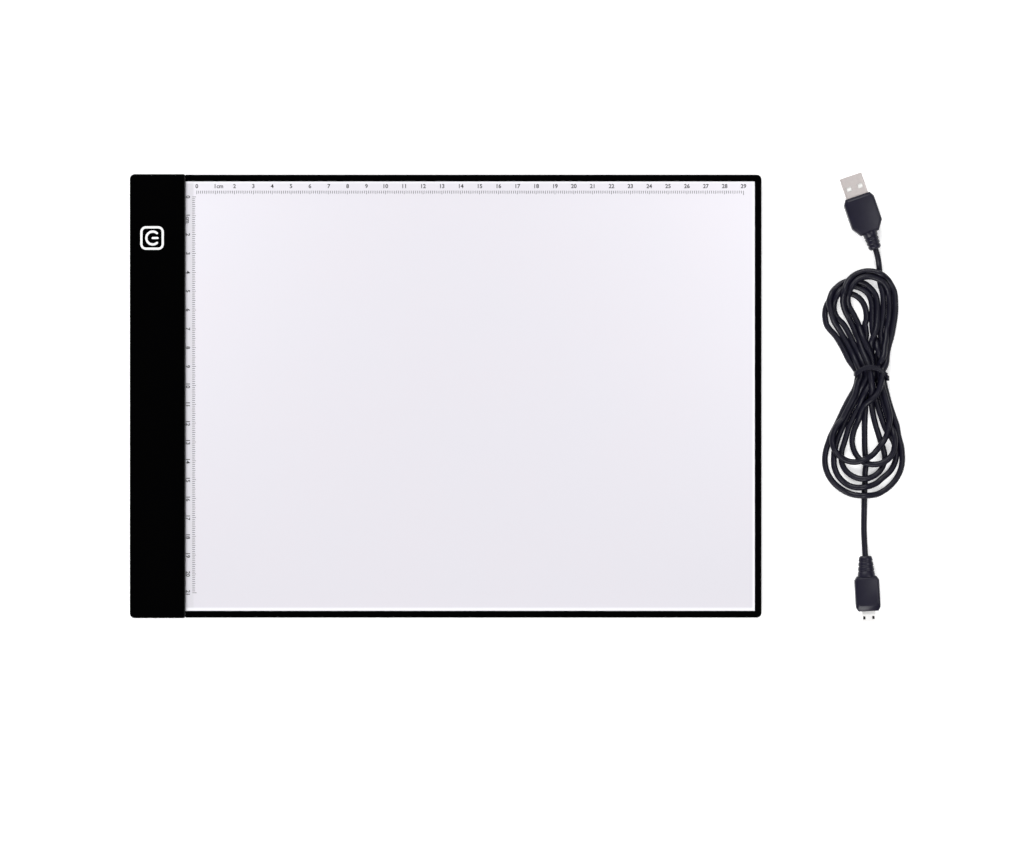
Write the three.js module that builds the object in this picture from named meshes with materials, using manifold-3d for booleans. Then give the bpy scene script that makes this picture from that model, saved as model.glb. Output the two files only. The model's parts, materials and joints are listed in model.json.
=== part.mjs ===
// A4 tracing light pad: an edge-lit panel in a thin frame, a key bar along its left
// side that holds the electronics, and the unplugged USB power lead beside it.
// Millimetres, +Z up. The origin is the middle of the pad's footprint, on the table.
import * as THREE from 'three';
import { mergeVertices } from 'three/addons/utils/BufferGeometryUtils.js';
import Module from 'manifold-3d';

const wasm = await Module();
wasm.setup();

// ---------------------------------------------------------------- driving sizes, mm

// Pad, overall
const PAD_LENGTH = 335;
const PANEL_DEPTH = 235;
const BAR_WIDTH = 29.4;
const BAR_OVERHANG = 0.2;
const BAR_HEIGHT = 8.8;
const BAR_WALL = 1.6;
const BAR_FLOOR = 1.2;
const BAR_ROOF = 1.5;
const SHELL_SPLIT = 2.8;
const OUTER_CORNER = 2.6;
const INNER_CORNER = 1;
const EDGE_EASE = 0.6;
const FRAME_WALL = 1.5;
const FRAME_LIP = 3.5;
const FRAME_LIP_THICK = 0.6;

// Panel layers, from the back up
const BACK_PLATE = 0.8;
const REFLECTOR = 0.2;
const LIGHT_GUIDE = 2;
const DIFFUSER = 0.3;
const SURFACE = 1;
const SURFACE_BELOW_LIP = 0.1;
const FOAM_STRIP = 1.5;
const LAYER_GAP = 0.04;
const SIDE_CLEARANCE = 0.15;

// Feet
const FOOT_DIAMETER = 9;
const FOOT_PROUD = 0.6;
const FOOT_RECESS = 0.3;
const FOOT_CHAMFER = 0.3;
const FOOT_INSET = 10.5;
const BAR_FOOT = { fromOuterSide: 8.7, fromEnd: 13.7 };

// Light source
const LED_COUNT = 24;
const LED_BOARD = { thick: 0.8, high: 2.4, endMargin: 4 };
const LED = { deep: 0.8, wide: 3.5, high: 1.4 };
const LED_GAP = 0.2;
const GUIDE_INTO_BAR = 5.5;
const SURFACE_INTO_BAR = 3;
const BACK_PLATE_LEDGE = 1;

// Electronics in the bar
const BOARD = { long: 55, thick: 1.2, sideGap: 1 };
const BOARD_POST = { radius: 1.75, fromEnds: 8 };
const PORT_HEADROOM = 0.4;
const KEY = { fromOuterSide: 11.5, fromTopEnd: 33.7 };
const ELECTRODE = { side: 11, thick: 0.25 };
const SPRING = { diameter: 5, wire: 0.5, turns: 3.5, endGap: 0.2 };
const PORT = { wide: 7.6, high: 2.7, deep: 5.6, wall: 0.3, corner: 0.7, opening: 0.35, intoWall: 0.5 };
const TONGUE = { wide: 3.8, thick: 0.6, block: 1.2, behindMouth: 1, fit: 0.1 };

const WIRE = { radius: 0.45, outer: 4, outerDrop: 6, inner: 1.6, innerDrop: 3.2 };

// Screws that hold the two bar shells together
const SCREW = { shank: 2, head: 4, headThick: 0.95, length: 5.6, drive: 2.2 };
const SCREW_BOSS = 6.4;
const BOSS_ABOVE_HEAD = 1.25;
const SCREW_FIT = 0.2;
const SCREW_PILOT_FIT = 0.05;
const SCREW_FROM_END = 9;
const SCREW_COUNT = 4;

// Power lead
const CABLE_GAP = 58;
const CORD_DIAMETER = 3.2;
const HANK_HEIGHT = 10;
const MATING_GAP = 0.3;
const TIE = { wide: 2.6, thick: 0.9, inside: 17, insideHigh: 9, corner: 0.9, y: 11.5 };
const USB_A = { wide: 12, high: 4.5, reach: 11.2, wall: 0.35, corner: 0.5 };
const USB_A_GRIP = { wide: 16.6, long: 20.9, high: 8, frontChamfer: 1.6, rearChamfer: 3.4 };
const USB_A_RELIEF = { long: 8.2, gripRadius: 3.6, cordRadius: 3.3, ribs: 3, flatten: 1 };
const USB_A_WINDOW = { side: 2.5, apart: 6.2, from: 3.4 };
const USB_A_CARRIER = { high: 1.8, fit: 0.15, behindMouth: 0.6 };
const CONTACT = { across: [-3.5, -1, 1, 3.5], wide: 1, thick: 0.2, fit: 0.1, outerTip: 1.4, innerTip: 2.4 };
const CONTACT_GROOVE = { deep: 0.3, rear: 1.6 };
const MICRO = { wide: 6.85, high: 1.8, reach: 5.6, wall: 0.28, corner: 0.4 };
const MICRO_GRIP = { wide: 13, long: 18.6, high: 7, frontChamfer: 1.2, rearChamfer: 1.4 };
const MICRO_RELIEF = { long: 10, gripRadius: 4.6, cordRadius: 3.6, ribs: 3, flatten: 0.72 };
const MICRO_CARRIER = { wide: 3.4, thick: 0.35, block: 2, fit: 0.1, behindMouth: 0.8 };
const LATCH = { apart: 4.8, wide: 0.9, thick: 0.25, root: 0.4, tip: 4.6, hookFrom: 3, hookTo: 4, rise: 0.25 };
const LATCH_FIT = { roof: 0.1, across: 0.2, along: 0.35 };
const GRIP_EASE = 1;
const USB_A_PLACE = { x: -7.1, y: 106.3, lean: 19 };
const MICRO_PLACE = { x: -1.1, y: -114.1, lean: 183.1 };

// Facets
const CORNER_STEPS = 5;
const ROUND_STEPS = 28;
const BIG = 1000;
const ROOT = 0.5;

// ---------------------------------------------------------------- derived levels and edges

const barBottom = FOOT_PROUD;
const barTop = barBottom + BAR_HEIGHT;
const floorTop = barBottom + BAR_FLOOR;
const roofUnder = barTop - BAR_ROOF;
const splitLevel = barBottom + SHELL_SPLIT;

const backLow = floorTop + LAYER_GAP;
const backTop = backLow + BACK_PLATE;
const reflectorLow = backTop + LAYER_GAP;
const guideLow = reflectorLow + REFLECTOR + LAYER_GAP;
const guideTop = guideLow + LIGHT_GUIDE;
const diffuserLow = guideTop + LAYER_GAP;
const surfaceLow = diffuserLow + DIFFUSER + LAYER_GAP;
const surfaceTop = surfaceLow + SURFACE;
const lipUnder = surfaceTop + LAYER_GAP;
const lipTop = lipUnder + FRAME_LIP_THICK;

const left = -PAD_LENGTH / 2;
const right = PAD_LENGTH / 2;
const barRight = left + BAR_WIDTH;
const halfPanel = PANEL_DEPTH / 2;
const halfBar = halfPanel + BAR_OVERHANG;
const barInsideRight = barRight - BAR_WALL;
const halfBarInside = halfBar - BAR_WALL;
const layerRight = right - FRAME_WALL - SIDE_CLEARANCE;
const halfLayer = halfPanel - FRAME_WALL - SIDE_CLEARANCE;
const guideLeft = barRight - GUIDE_INTO_BAR;
const surfaceLeft = barRight - SURFACE_INTO_BAR;
const ledFace = guideLeft - LED_GAP;
const ledBoardRight = ledFace - LED.deep;
const ledBoardLeft = ledBoardRight - LED_BOARD.thick;
const backPlateLeft = ledBoardLeft - BACK_PLATE_LEDGE;
const guideMiddle = (guideLow + guideTop) / 2;

// ---------------------------------------------------------------- solids

function solid(geometry) {
  const bare = geometry.clone();
  bare.deleteAttribute('normal');
  bare.deleteAttribute('uv');
  const merged = mergeVertices(bare, 1e-4);
  const index = merged.getIndex().array;
  const triangles = [];
  for (let i = 0; i < index.length; i += 3) {
    const [a, b, c] = [index[i], index[i + 1], index[i + 2]];
    if (a !== b && b !== c && c !== a) triangles.push(a, b, c);
  }
  return new wasm.Manifold(new wasm.Mesh({
    numProp: 3,
    vertProperties: new Float32Array(merged.getAttribute('position').array),
    triVerts: new Uint32Array(triangles),
  }));
}

function surfaceOf(manifold) {
  const mesh = manifold.getMesh();
  const geometry = new THREE.BufferGeometry();
  geometry.setAttribute('position', new THREE.BufferAttribute(new Float32Array(mesh.vertProperties), 3));
  geometry.setIndex(new THREE.BufferAttribute(new Uint32Array(mesh.triVerts), 1));
  geometry.computeVertexNormals();
  return geometry;
}

const join = (...pieces) => surfaceOf(pieces.map(solid).reduce((a, b) => a.add(b)));
const cut = (base, ...tools) => surfaceOf(tools.map(solid).reduce((a, b) => a.subtract(b), solid(base)));
const common = (a, b) => surfaceOf(solid(a).intersect(solid(b)));

function box(x0, x1, y0, y1, z0, z1) {
  return new THREE.BoxGeometry(x1 - x0, y1 - y0, z1 - z0)
    .translate((x0 + x1) / 2, (y0 + y1) / 2, (z0 + z1) / 2);
}

function rod(x, y, z0, z1, radius) {
  return new THREE.CylinderGeometry(radius, radius, z1 - z0, ROUND_STEPS)
    .rotateX(Math.PI / 2)
    .translate(x, y, (z0 + z1) / 2);
}

// A rectangle whose left and right pairs of corners have their own radii.
function rectangle(x0, x1, y0, y1, leftRadius = 0, rightRadius = leftRadius) {
  const shape = new THREE.Shape();
  const corners = [
    [x1, y0, rightRadius, -1, 1, -Math.PI / 2],
    [x1, y1, rightRadius, -1, -1, 0],
    [x0, y1, leftRadius, 1, -1, Math.PI / 2],
    [x0, y0, leftRadius, 1, 1, Math.PI],
  ];
  corners.forEach(([x, y, r, inX, inY, start], i) => {
    if (r > 0) shape.absarc(x + inX * r, y + inY * r, r, start, start + Math.PI / 2, false);
    else if (i === 0) shape.moveTo(x, y);
    else shape.lineTo(x, y);
  });
  return shape;
}

function prism(shape, z0, z1, steps = CORNER_STEPS) {
  const settings = { depth: z1 - z0, bevelEnabled: false, curveSegments: steps };
  return new THREE.ExtrudeGeometry(shape, settings).translate(0, 0, z0);
}

// A prism whose top or bottom edge is rounded over.
function easedPrism(shape, z0, z1, ease, easeTop, easeBottom) {
  const low = easeBottom ? z0 : z0 - 2 * ease;
  const high = easeTop ? z1 : z1 + 2 * ease;
  const settings = {
    depth: high - low - 2 * ease,
    bevelThickness: ease,
    bevelSize: ease,
    bevelOffset: -ease,
    bevelSegments: 3,
    curveSegments: CORNER_STEPS,
  };
  const eased = new THREE.ExtrudeGeometry(shape, settings).translate(0, 0, low + ease);
  return common(eased, box(-BIG, BIG, -BIG, BIG, z0, z1));
}

function tube(curve, radius, sides, steps) {
  const section = new THREE.Shape();
  for (let i = 0; i < sides; i += 1) {
    const turn = (i / sides) * 2 * Math.PI;
    const point = [radius * Math.cos(turn), radius * Math.sin(turn)];
    if (i === 0) section.moveTo(...point);
    else section.lineTo(...point);
  }
  return new THREE.ExtrudeGeometry(section, { steps, extrudePath: curve });
}

function lathe(profile) {
  const points = profile.map(([r, z]) => new THREE.Vector2(r, z));
  return new THREE.LatheGeometry(points, ROUND_STEPS).rotateX(Math.PI / 2);
}

// ---------------------------------------------------------------- finishes

const finishes = {
  blackPlastic: { color: 0x0b0b0d, roughness: 0.35, metalness: 0 },
  blackRubber: { color: 0x121214, roughness: 0.8, metalness: 0 },
  blackVinyl: { color: 0x1a1a20, roughness: 0.45, metalness: 0 },
  drawingSurface: { color: 0xf1f0f7, roughness: 0.35, metalness: 0 },
  milkyFilm: { color: 0xf6f6f6, roughness: 0.6, metalness: 0 },
  clearAcrylic: { color: 0xe6f0f2, roughness: 0.1, metalness: 0 },
  whiteFilm: { color: 0xfafafa, roughness: 0.4, metalness: 0 },
  greyFoam: { color: 0x8a8a8a, roughness: 0.9, metalness: 0 },
  circuitBoard: { color: 0x1d5c37, roughness: 0.5, metalness: 0 },
  whiteBoard: { color: 0xeeeeea, roughness: 0.5, metalness: 0 },
  chipBlack: { color: 0x17171a, roughness: 0.6, metalness: 0 },
  capacitorTan: { color: 0xb08a5a, roughness: 0.5, metalness: 0 },
  nickel: { color: 0xc9c6c4, roughness: 0.25, metalness: 1 },
  copper: { color: 0xb8733a, roughness: 0.35, metalness: 1 },
  gold: { color: 0xd9b45a, roughness: 0.3, metalness: 1 },
  zincSteel: { color: 0x9a9a9e, roughness: 0.4, metalness: 1 },
  whiteNylon: { color: 0xf2f2ee, roughness: 0.5, metalness: 0 },
  blackNylon: { color: 0x18181a, roughness: 0.5, metalness: 0 },
  redWire: { color: 0xb3201c, roughness: 0.5, metalness: 0 },
  blackWire: { color: 0x151515, roughness: 0.5, metalness: 0 },
};

function add(group, name, geometry, finish) {
  const mesh = new THREE.Mesh(geometry, new THREE.MeshStandardMaterial(finishes[finish]));
  mesh.name = name;
  group.add(mesh);
}

// ---------------------------------------------------------------- panel

const footPlaces = {
  bar: [left + BAR_FOOT.fromOuterSide, halfBar - BAR_FOOT.fromEnd],
  middle: [(left + right) / 2, halfPanel - FOOT_INSET],
  end: [right - FOOT_INSET, halfPanel - FOOT_INSET],
};

function panelLayer(x0, x1, z0, z1) {
  return box(x0, x1, -halfLayer, halfLayer, z0, z1);
}

function backPlate() {
  const plate = panelLayer(backPlateLeft, layerRight, backLow, backTop);
  const recesses = [];
  for (const [x, y] of [footPlaces.middle, footPlaces.end]) {
    for (const side of [-1, 1]) {
      const radius = FOOT_DIAMETER / 2 + SIDE_CLEARANCE;
      recesses.push(rod(x, side * y, backLow - 1, backLow + FOOT_RECESS, radius));
    }
  }
  return cut(plate, ...recesses);
}

function sideFrame() {
  const x0 = barRight + LAYER_GAP;
  const outline = rectangle(x0, right, -halfPanel, halfPanel, 0, OUTER_CORNER);
  const outer = easedPrism(outline, backLow, lipTop, EDGE_EASE / 2, true, true);
  const square = prism(outline, backLow, lipTop);
  const endZone = box(x0, x0 + FRAME_LIP, -BIG, BIG, backLow, lipTop);
  const innerRight = right - FRAME_WALL;
  const halfInner = halfPanel - FRAME_WALL;
  const pocket = box(-BIG, innerRight, -halfInner, halfInner, backLow - 1, lipUnder);
  const halfWindow = halfPanel - FRAME_LIP;
  const window = box(-BIG, right - FRAME_LIP, -halfWindow, halfWindow, backLow - 1, lipTop + 1);
  return cut(join(outer, common(square, endZone)), pocket, window);
}

// The rim lies under the frame's lip, and the face that is drawn on stands up inside the lip.
function drawingSurface() {
  const faceEdge = FRAME_LIP + SIDE_CLEARANCE;
  const face = box(barRight + SIDE_CLEARANCE, right - faceEdge, faceEdge - halfPanel, halfPanel - faceEdge,
    surfaceLow, lipTop - SURFACE_BELOW_LIP);
  return join(panelLayer(surfaceLeft, layerRight, surfaceLow, surfaceTop), face);
}

function rubberFoot(top) {
  const radius = FOOT_DIAMETER / 2;
  return lathe([
    [0, 0],
    [radius - FOOT_CHAMFER, 0],
    [radius, FOOT_CHAMFER],
    [radius, top],
    [0, top],
  ]);
}

function addPanel(pad) {
  add(pad, 'back_plate', backPlate(), 'blackPlastic');
  add(pad, 'side_frame', sideFrame(), 'blackPlastic');
  const guideRight = layerRight - FOAM_STRIP - LAYER_GAP;
  const reflector = panelLayer(guideLeft, guideRight, reflectorLow, reflectorLow + REFLECTOR);
  add(pad, 'reflector_sheet', reflector, 'whiteFilm');
  add(pad, 'light_guide_plate', panelLayer(guideLeft, guideRight, guideLow, guideTop), 'clearAcrylic');
  const foam = box(layerRight - FOAM_STRIP, layerRight - LAYER_GAP, -halfLayer, halfLayer,
    backTop + LAYER_GAP, guideTop);
  add(pad, 'light_guide_foam_strip', foam, 'greyFoam');
  const diffuser = panelLayer(surfaceLeft, layerRight, diffuserLow, diffuserLow + DIFFUSER);
  add(pad, 'diffuser_sheet', diffuser, 'milkyFilm');
  add(pad, 'drawing_surface', drawingSurface(), 'drawingSurface');

  for (const [place, [x, y]] of Object.entries(footPlaces)) {
    const seat = place === 'bar' ? barBottom : backLow;
    for (const [end, side] of [['upper', 1], ['lower', -1]]) {
      const foot = rubberFoot(seat + FOOT_RECESS - LAYER_GAP).translate(x, side * y, 0);
      add(pad, `foot_${place}_${end}`, foot, 'blackRubber');
    }
  }
}

// ---------------------------------------------------------------- bar shells

const screwX = backPlateLeft - SCREW_BOSS / 2 - SCREW_FIT;
const screwReach = halfBar - SCREW_FROM_END;
const screwPlaces = Array.from({ length: SCREW_COUNT },
  (_, i) => [screwX, screwReach * (1 - (2 * i) / (SCREW_COUNT - 1))]);
const headSeat = barBottom + SCREW.headThick + SCREW_FIT;
const bossMeet = headSeat + BOSS_ABOVE_HEAD;

const boardLeft = left + BAR_WALL + BOARD.sideGap;
const boardRight = backPlateLeft - BOARD.sideGap / 2;
const neckRight = screwX - SCREW_BOSS / 2 - BOARD.sideGap / 2;
const neckStart = screwReach - SCREW_BOSS / 2 - BOARD.sideGap;
const boardTopEnd = halfBarInside - BOARD.sideGap;
const boardLowEnd = boardTopEnd - BOARD.long;
const portX = (boardLeft + neckRight) / 2;
const portHigh = roofUnder - PORT_HEADROOM;
const portLow = portHigh - PORT.high;
const portMouth = halfBarInside + PORT.intoWall;
const boardTop = portLow - LAYER_GAP;
const boardLow = boardTop - BOARD.thick;

const barOutline = () => rectangle(left, barRight, -halfBar, halfBar, OUTER_CORNER, INNER_CORNER);

function barCavity(z0, z1) {
  const inside = rectangle(left + BAR_WALL, barInsideRight, -halfBarInside, halfBarInside,
    OUTER_CORNER - BAR_WALL, 0);
  return prism(inside, z0, z1);
}

function panelSlot(z0, z1) {
  return box(barInsideRight - 1, barRight + 1, -halfBarInside, halfBarInside, z0, z1);
}

function portOpening() {
  const half = PORT.wide / 2 + PORT.opening;
  return box(portX - half, portX + half, halfBarInside - 1, halfBar + 1,
    portLow - PORT.opening, portHigh + PORT.opening);
}

function barTopShell() {
  const outer = easedPrism(barOutline(), splitLevel, barTop, EDGE_EASE, true, false);
  const hollow = cut(outer, barCavity(splitLevel - 1, roofUnder),
    panelSlot(splitLevel - 1, surfaceTop + LAYER_GAP));
  const bosses = screwPlaces.map(([x, y]) => rod(x, y, bossMeet + LAYER_GAP,
    roofUnder + ROOT, SCREW_BOSS / 2));
  const pilot = SCREW.shank / 2 + SCREW_PILOT_FIT;
  const pilots = screwPlaces.map(([x, y]) => rod(x, y, bossMeet - 1, headSeat + SCREW.length, pilot));
  return cut(join(hollow, ...bosses), ...pilots, portOpening());
}

function barBottomShell() {
  const outer = easedPrism(barOutline(), barBottom, splitLevel - LAYER_GAP, EDGE_EASE, false, true);
  const hollow = cut(outer, barCavity(floorTop, splitLevel + 1), panelSlot(floorTop, splitLevel + 1));
  const bosses = screwPlaces.map(([x, y]) => rod(x, y, floorTop - ROOT, bossMeet, SCREW_BOSS / 2));
  const heads = screwPlaces.map(([x, y]) => rod(x, y, barBottom - 1, headSeat, SCREW.head / 2 + SCREW_FIT));
  const shanks = screwPlaces.map(([x, y]) => rod(x, y, headSeat - 1, bossMeet + 1,
    SCREW.shank / 2 + SCREW_FIT));
  const posts = [boardTopEnd - BOARD_POST.fromEnds, boardLowEnd + BOARD_POST.fromEnds]
    .map((y) => rod(portX, y, floorTop - ROOT, boardLow - LAYER_GAP, BOARD_POST.radius));
  const [footX, footY] = footPlaces.bar;
  const recesses = [-1, 1].map((side) => rod(footX, side * footY, barBottom - 1,
    barBottom + FOOT_RECESS, FOOT_DIAMETER / 2 + SIDE_CLEARANCE));
  return cut(join(hollow, ...bosses, ...posts), ...heads, ...shanks, ...recesses, portOpening());
}

function barScrew() {
  const shank = SCREW.shank / 2;
  const head = SCREW.head / 2;
  const seat = headSeat - LAYER_GAP;
  const body = lathe([
    [0, seat - SCREW.headThick],
    [head - 0.3, seat - SCREW.headThick],
    [head, seat - SCREW.headThick + 0.3],
    [head, seat],
    [shank, seat],
    [shank, seat + SCREW.length - 1.2],
    [0, seat + SCREW.length - 0.4],
  ]);
  const half = SCREW.drive / 2;
  const slotHalf = 0.25;
  const low = seat - SCREW.headThick;
  return cut(body,
    box(-half, half, -slotHalf, slotHalf, low - 1, low + 0.6),
    box(-slotHalf, slotHalf, -half, half, low - 1, low + 0.6));
}

function addBar(pad) {
  add(pad, 'bar_top_shell', barTopShell(), 'blackPlastic');
  add(pad, 'bar_bottom_shell', barBottomShell(), 'blackPlastic');
  screwPlaces.forEach(([x, y], i) => {
    add(pad, `bar_screw_${i + 1}`, barScrew().translate(x, y, 0), 'zincSteel');
  });
}

// ---------------------------------------------------------------- electronics in the bar

function ledStrip() {
  const halfLong = halfLayer - LED_BOARD.endMargin;
  const board = box(ledBoardLeft, ledBoardRight, -halfLong, halfLong,
    guideMiddle - LED_BOARD.high / 2, guideMiddle + LED_BOARD.high / 2);
  const pitch = (2 * halfLong) / LED_COUNT;
  const lamps = [];
  for (let i = 0; i < LED_COUNT; i += 1) {
    const y = -halfLong + (i + 0.5) * pitch;
    lamps.push(box(ledBoardRight - 0.1, ledFace, y - LED.wide / 2, y + LED.wide / 2,
      guideMiddle - LED.high / 2, guideMiddle + LED.high / 2));
  }
  return join(board, ...lamps);
}

// Surface-mounted parts: place along the board from its top end, place across it, and size.
const boardParts = [
  ['touch_controller_chip', 40, -2.2, 5, 4, 1.5, 'chipBlack'],
  ['led_driver_chip', 20, 1.6, 4, 4, 1.2, 'chipBlack'],
  ['driver_inductor', 13, 1.6, 4.4, 4.4, 2.2, 'chipBlack'],
  ['filter_capacitor', 14, -3.2, 3.2, 1.8, 1.4, 'capacitorTan'],
  ['sense_resistor', 24, -3.2, 3.2, 1.6, 0.6, 'chipBlack'],
];

function touchSpring(x, y, z0, z1) {
  class Helix extends THREE.Curve {
    getPoint(t) {
      const turn = t * SPRING.turns * 2 * Math.PI;
      const reach = (SPRING.diameter - SPRING.wire) / 2;
      return new THREE.Vector3(x + reach * Math.cos(turn), y + reach * Math.sin(turn), z0 + t * (z1 - z0));
    }
  }
  return tube(new Helix(), SPRING.wire / 2, 6, 56);
}

function controlBoard() {
  const shape = new THREE.Shape();
  shape.moveTo(boardLeft, boardLowEnd);
  shape.lineTo(boardRight, boardLowEnd);
  shape.lineTo(boardRight, neckStart);
  shape.lineTo(neckRight, neckStart);
  shape.lineTo(neckRight, boardTopEnd);
  shape.lineTo(boardLeft, boardTopEnd);
  return prism(shape, boardLow, boardTop);
}

// A wire that leaves the control board's lower end and turns to the back of the LED strip.
function supplyWire(startX, drop) {
  const startY = boardLowEnd - MATING_GAP;
  const endY = startY - drop;
  const startZ = boardLow + BOARD.thick / 2;
  const route = new THREE.CatmullRomCurve3([
    new THREE.Vector3(startX, startY, startZ),
    new THREE.Vector3(startX, startY - drop / 2, startZ),
    new THREE.Vector3((startX + ledBoardLeft) / 2, endY, guideMiddle),
    new THREE.Vector3(ledBoardLeft - MATING_GAP, endY, guideMiddle),
  ]);
  return tube(route, WIRE.radius, 6, 14);
}

function addElectronics(pad) {
  add(pad, 'led_strip', ledStrip(), 'whiteBoard');
  add(pad, 'control_board', controlBoard(), 'circuitBoard');
  for (const [name, along, across, long, wide, high, finish] of boardParts) {
    const y = boardTopEnd - along;
    const x = portX + across;
    const low = boardTop + LAYER_GAP;
    add(pad, name, box(x - wide / 2, x + wide / 2, y - long / 2, y + long / 2, low, low + high), finish);
  }

  const keyX = left + KEY.fromOuterSide;
  const keyY = halfBar - KEY.fromTopEnd;
  const halfKey = ELECTRODE.side / 2;
  const electrodeTop = roofUnder - LAYER_GAP;
  const electrodeLow = electrodeTop - ELECTRODE.thick;
  const electrode = prism(rectangle(keyX - halfKey, keyX + halfKey, keyY - halfKey, keyY + halfKey, 2),
    electrodeLow, electrodeTop);
  add(pad, 'touch_electrode', electrode, 'copper');
  const springGap = SPRING.wire / 2 + SPRING.endGap;
  const spring = touchSpring(keyX, keyY, boardTop + springGap, electrodeLow - springGap);
  add(pad, 'touch_spring', spring, 'copper');

  const half = PORT.wide / 2;
  const shell = cut(
    prism(rectangle(portX - half, portX + half, portLow, portHigh, PORT.corner), 0, PORT.deep),
    prism(rectangle(portX - half + PORT.wall, portX + half - PORT.wall, portLow + PORT.wall,
      portHigh - PORT.wall, PORT.corner - PORT.wall), -1, PORT.deep + 1),
  ).rotateX(Math.PI / 2).translate(0, portMouth, 0);
  add(pad, 'usb_port_shell', shell, 'nickel');

  const portRear = portMouth - PORT.deep;
  const middle = (portLow + portHigh) / 2;
  const inset = PORT.wall + TONGUE.fit;
  const blockHalf = half - inset - PORT.corner;
  const tongue = join(
    box(portX - blockHalf, portX + blockHalf, portRear, portRear + TONGUE.block,
      portLow + inset, portHigh - inset),
    box(portX - TONGUE.wide / 2, portX + TONGUE.wide / 2, portRear, portMouth - TONGUE.behindMouth,
      middle, middle + TONGUE.thick),
  );
  add(pad, 'usb_port_tongue', tongue, 'blackNylon');

  add(pad, 'supply_wire_positive', supplyWire(boardRight - WIRE.outer, WIRE.outerDrop), 'redWire');
  add(pad, 'supply_wire_negative', supplyWire(boardRight - WIRE.inner, WIRE.innerDrop), 'blackWire');
}

// ---------------------------------------------------------------- power lead

// Plugs are built with +Y out of the mouth, Y 0 at the grip's front face and Z 0 on the
// plug's own middle plane, then turned to where they lie.

function plugAt(cable, place, grip) {
  const plug = new THREE.Group();
  plug.position.set(place.x, place.y, grip.high / 2);
  plug.rotation.z = THREE.MathUtils.degToRad(place.lean);
  cable.add(plug);
  return plug;
}

function plugGrip({ wide, long, high, frontChamfer, rearChamfer }) {
  const half = wide / 2;
  const shoulderFront = -1.6 * frontChamfer;
  const shoulderRear = -long + 1.5 * rearChamfer;
  const shape = new THREE.Shape();
  shape.moveTo(-half + frontChamfer, 0);
  shape.lineTo(-half, shoulderFront);
  shape.lineTo(-half, shoulderRear);
  shape.lineTo(-half + rearChamfer, -long);
  shape.lineTo(half - rearChamfer, -long);
  shape.lineTo(half, shoulderRear);
  shape.lineTo(half, shoulderFront);
  shape.lineTo(half - frontChamfer, 0);
  return easedPrism(shape, -high / 2, high / 2, GRIP_EASE, true, true);
}

// A ribbed, tapered piece behind a grip, flattened to fit it.
function strainRelief(grip, { long, gripRadius, cordRadius, ribs, flatten }) {
  const points = [[0, 0], [gripRadius, 0]];
  for (let i = 0; i < ribs; i += 1) {
    const share = (i + 0.5) / ribs;
    const radius = gripRadius + (cordRadius - gripRadius) * share;
    const groove = radius - 0.5;
    const at = share * long;
    points.push([radius, at - 0.6], [groove, at - 0.4], [groove, at + 0.4], [radius, at + 0.6]);
  }
  points.push([cordRadius, long], [0, long]);
  return new THREE.LatheGeometry(points.map(([r, y]) => new THREE.Vector2(r, y)), 20)
    .rotateX(Math.PI)
    .scale(1, 1, flatten)
    .translate(0, -grip.long - MATING_GAP, 0);
}

// A folded sheet shell, open at both ends, that starts just clear of the grip.
function plugShell({ wide, high, wall, reach, corner }) {
  const long = reach - MATING_GAP;
  return cut(
    prism(rectangle(-wide / 2, wide / 2, -high / 2, high / 2, corner), 0, long),
    prism(rectangle(-wide / 2 + wall, wide / 2 - wall, -high / 2 + wall, high / 2 - wall,
      corner - wall), -1, long + 1),
  ).rotateX(-Math.PI / 2).translate(0, MATING_GAP, 0);
}

function addUsbA(cable) {
  const plug = plugAt(cable, USB_A_PLACE, USB_A_GRIP);
  const windows = [-1, 1].map((side) => {
    const x = (side * USB_A_WINDOW.apart) / 2;
    const half = USB_A_WINDOW.side / 2;
    return box(x - half, x + half, USB_A_WINDOW.from, USB_A_WINDOW.from + USB_A_WINDOW.side, -BIG, BIG);
  });
  add(plug, 'usb_a_shell', cut(plugShell(USB_A), ...windows), 'nickel');

  const top = USB_A.high / 2 - USB_A.wall - USB_A_CARRIER.fit;
  const low = top - USB_A_CARRIER.high;
  const half = USB_A.wide / 2 - USB_A.wall - USB_A_CARRIER.fit;
  const front = USB_A.reach - USB_A_CARRIER.behindMouth;
  const halfGroove = CONTACT.wide / 2 + CONTACT.fit;
  const grooves = CONTACT.across.map((x) => box(x - halfGroove, x + halfGroove,
    CONTACT_GROOVE.rear, USB_A.reach,
    low - 1, low + CONTACT_GROOVE.deep));
  const carrier = cut(box(-half, half, MATING_GAP, front, low, top), ...grooves);
  add(plug, 'usb_a_contact_carrier', carrier, 'whiteNylon');
  CONTACT.across.forEach((x, i) => {
    const outer = i === 0 || i === CONTACT.across.length - 1;
    const tip = USB_A.reach - (outer ? CONTACT.outerTip : CONTACT.innerTip);
    const contactTop = low + CONTACT_GROOVE.deep - CONTACT.fit / 2;
    const contact = box(x - CONTACT.wide / 2, x + CONTACT.wide / 2, CONTACT_GROOVE.rear + MATING_GAP, tip,
      contactTop - CONTACT.thick, contactTop);
    add(plug, `usb_a_contact_${i + 1}`, contact, 'gold');
  });
  add(plug, 'usb_a_grip', plugGrip(USB_A_GRIP), 'blackVinyl');
  add(plug, 'usb_a_strain_relief', strainRelief(USB_A_GRIP, USB_A_RELIEF), 'blackVinyl');
}

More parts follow.
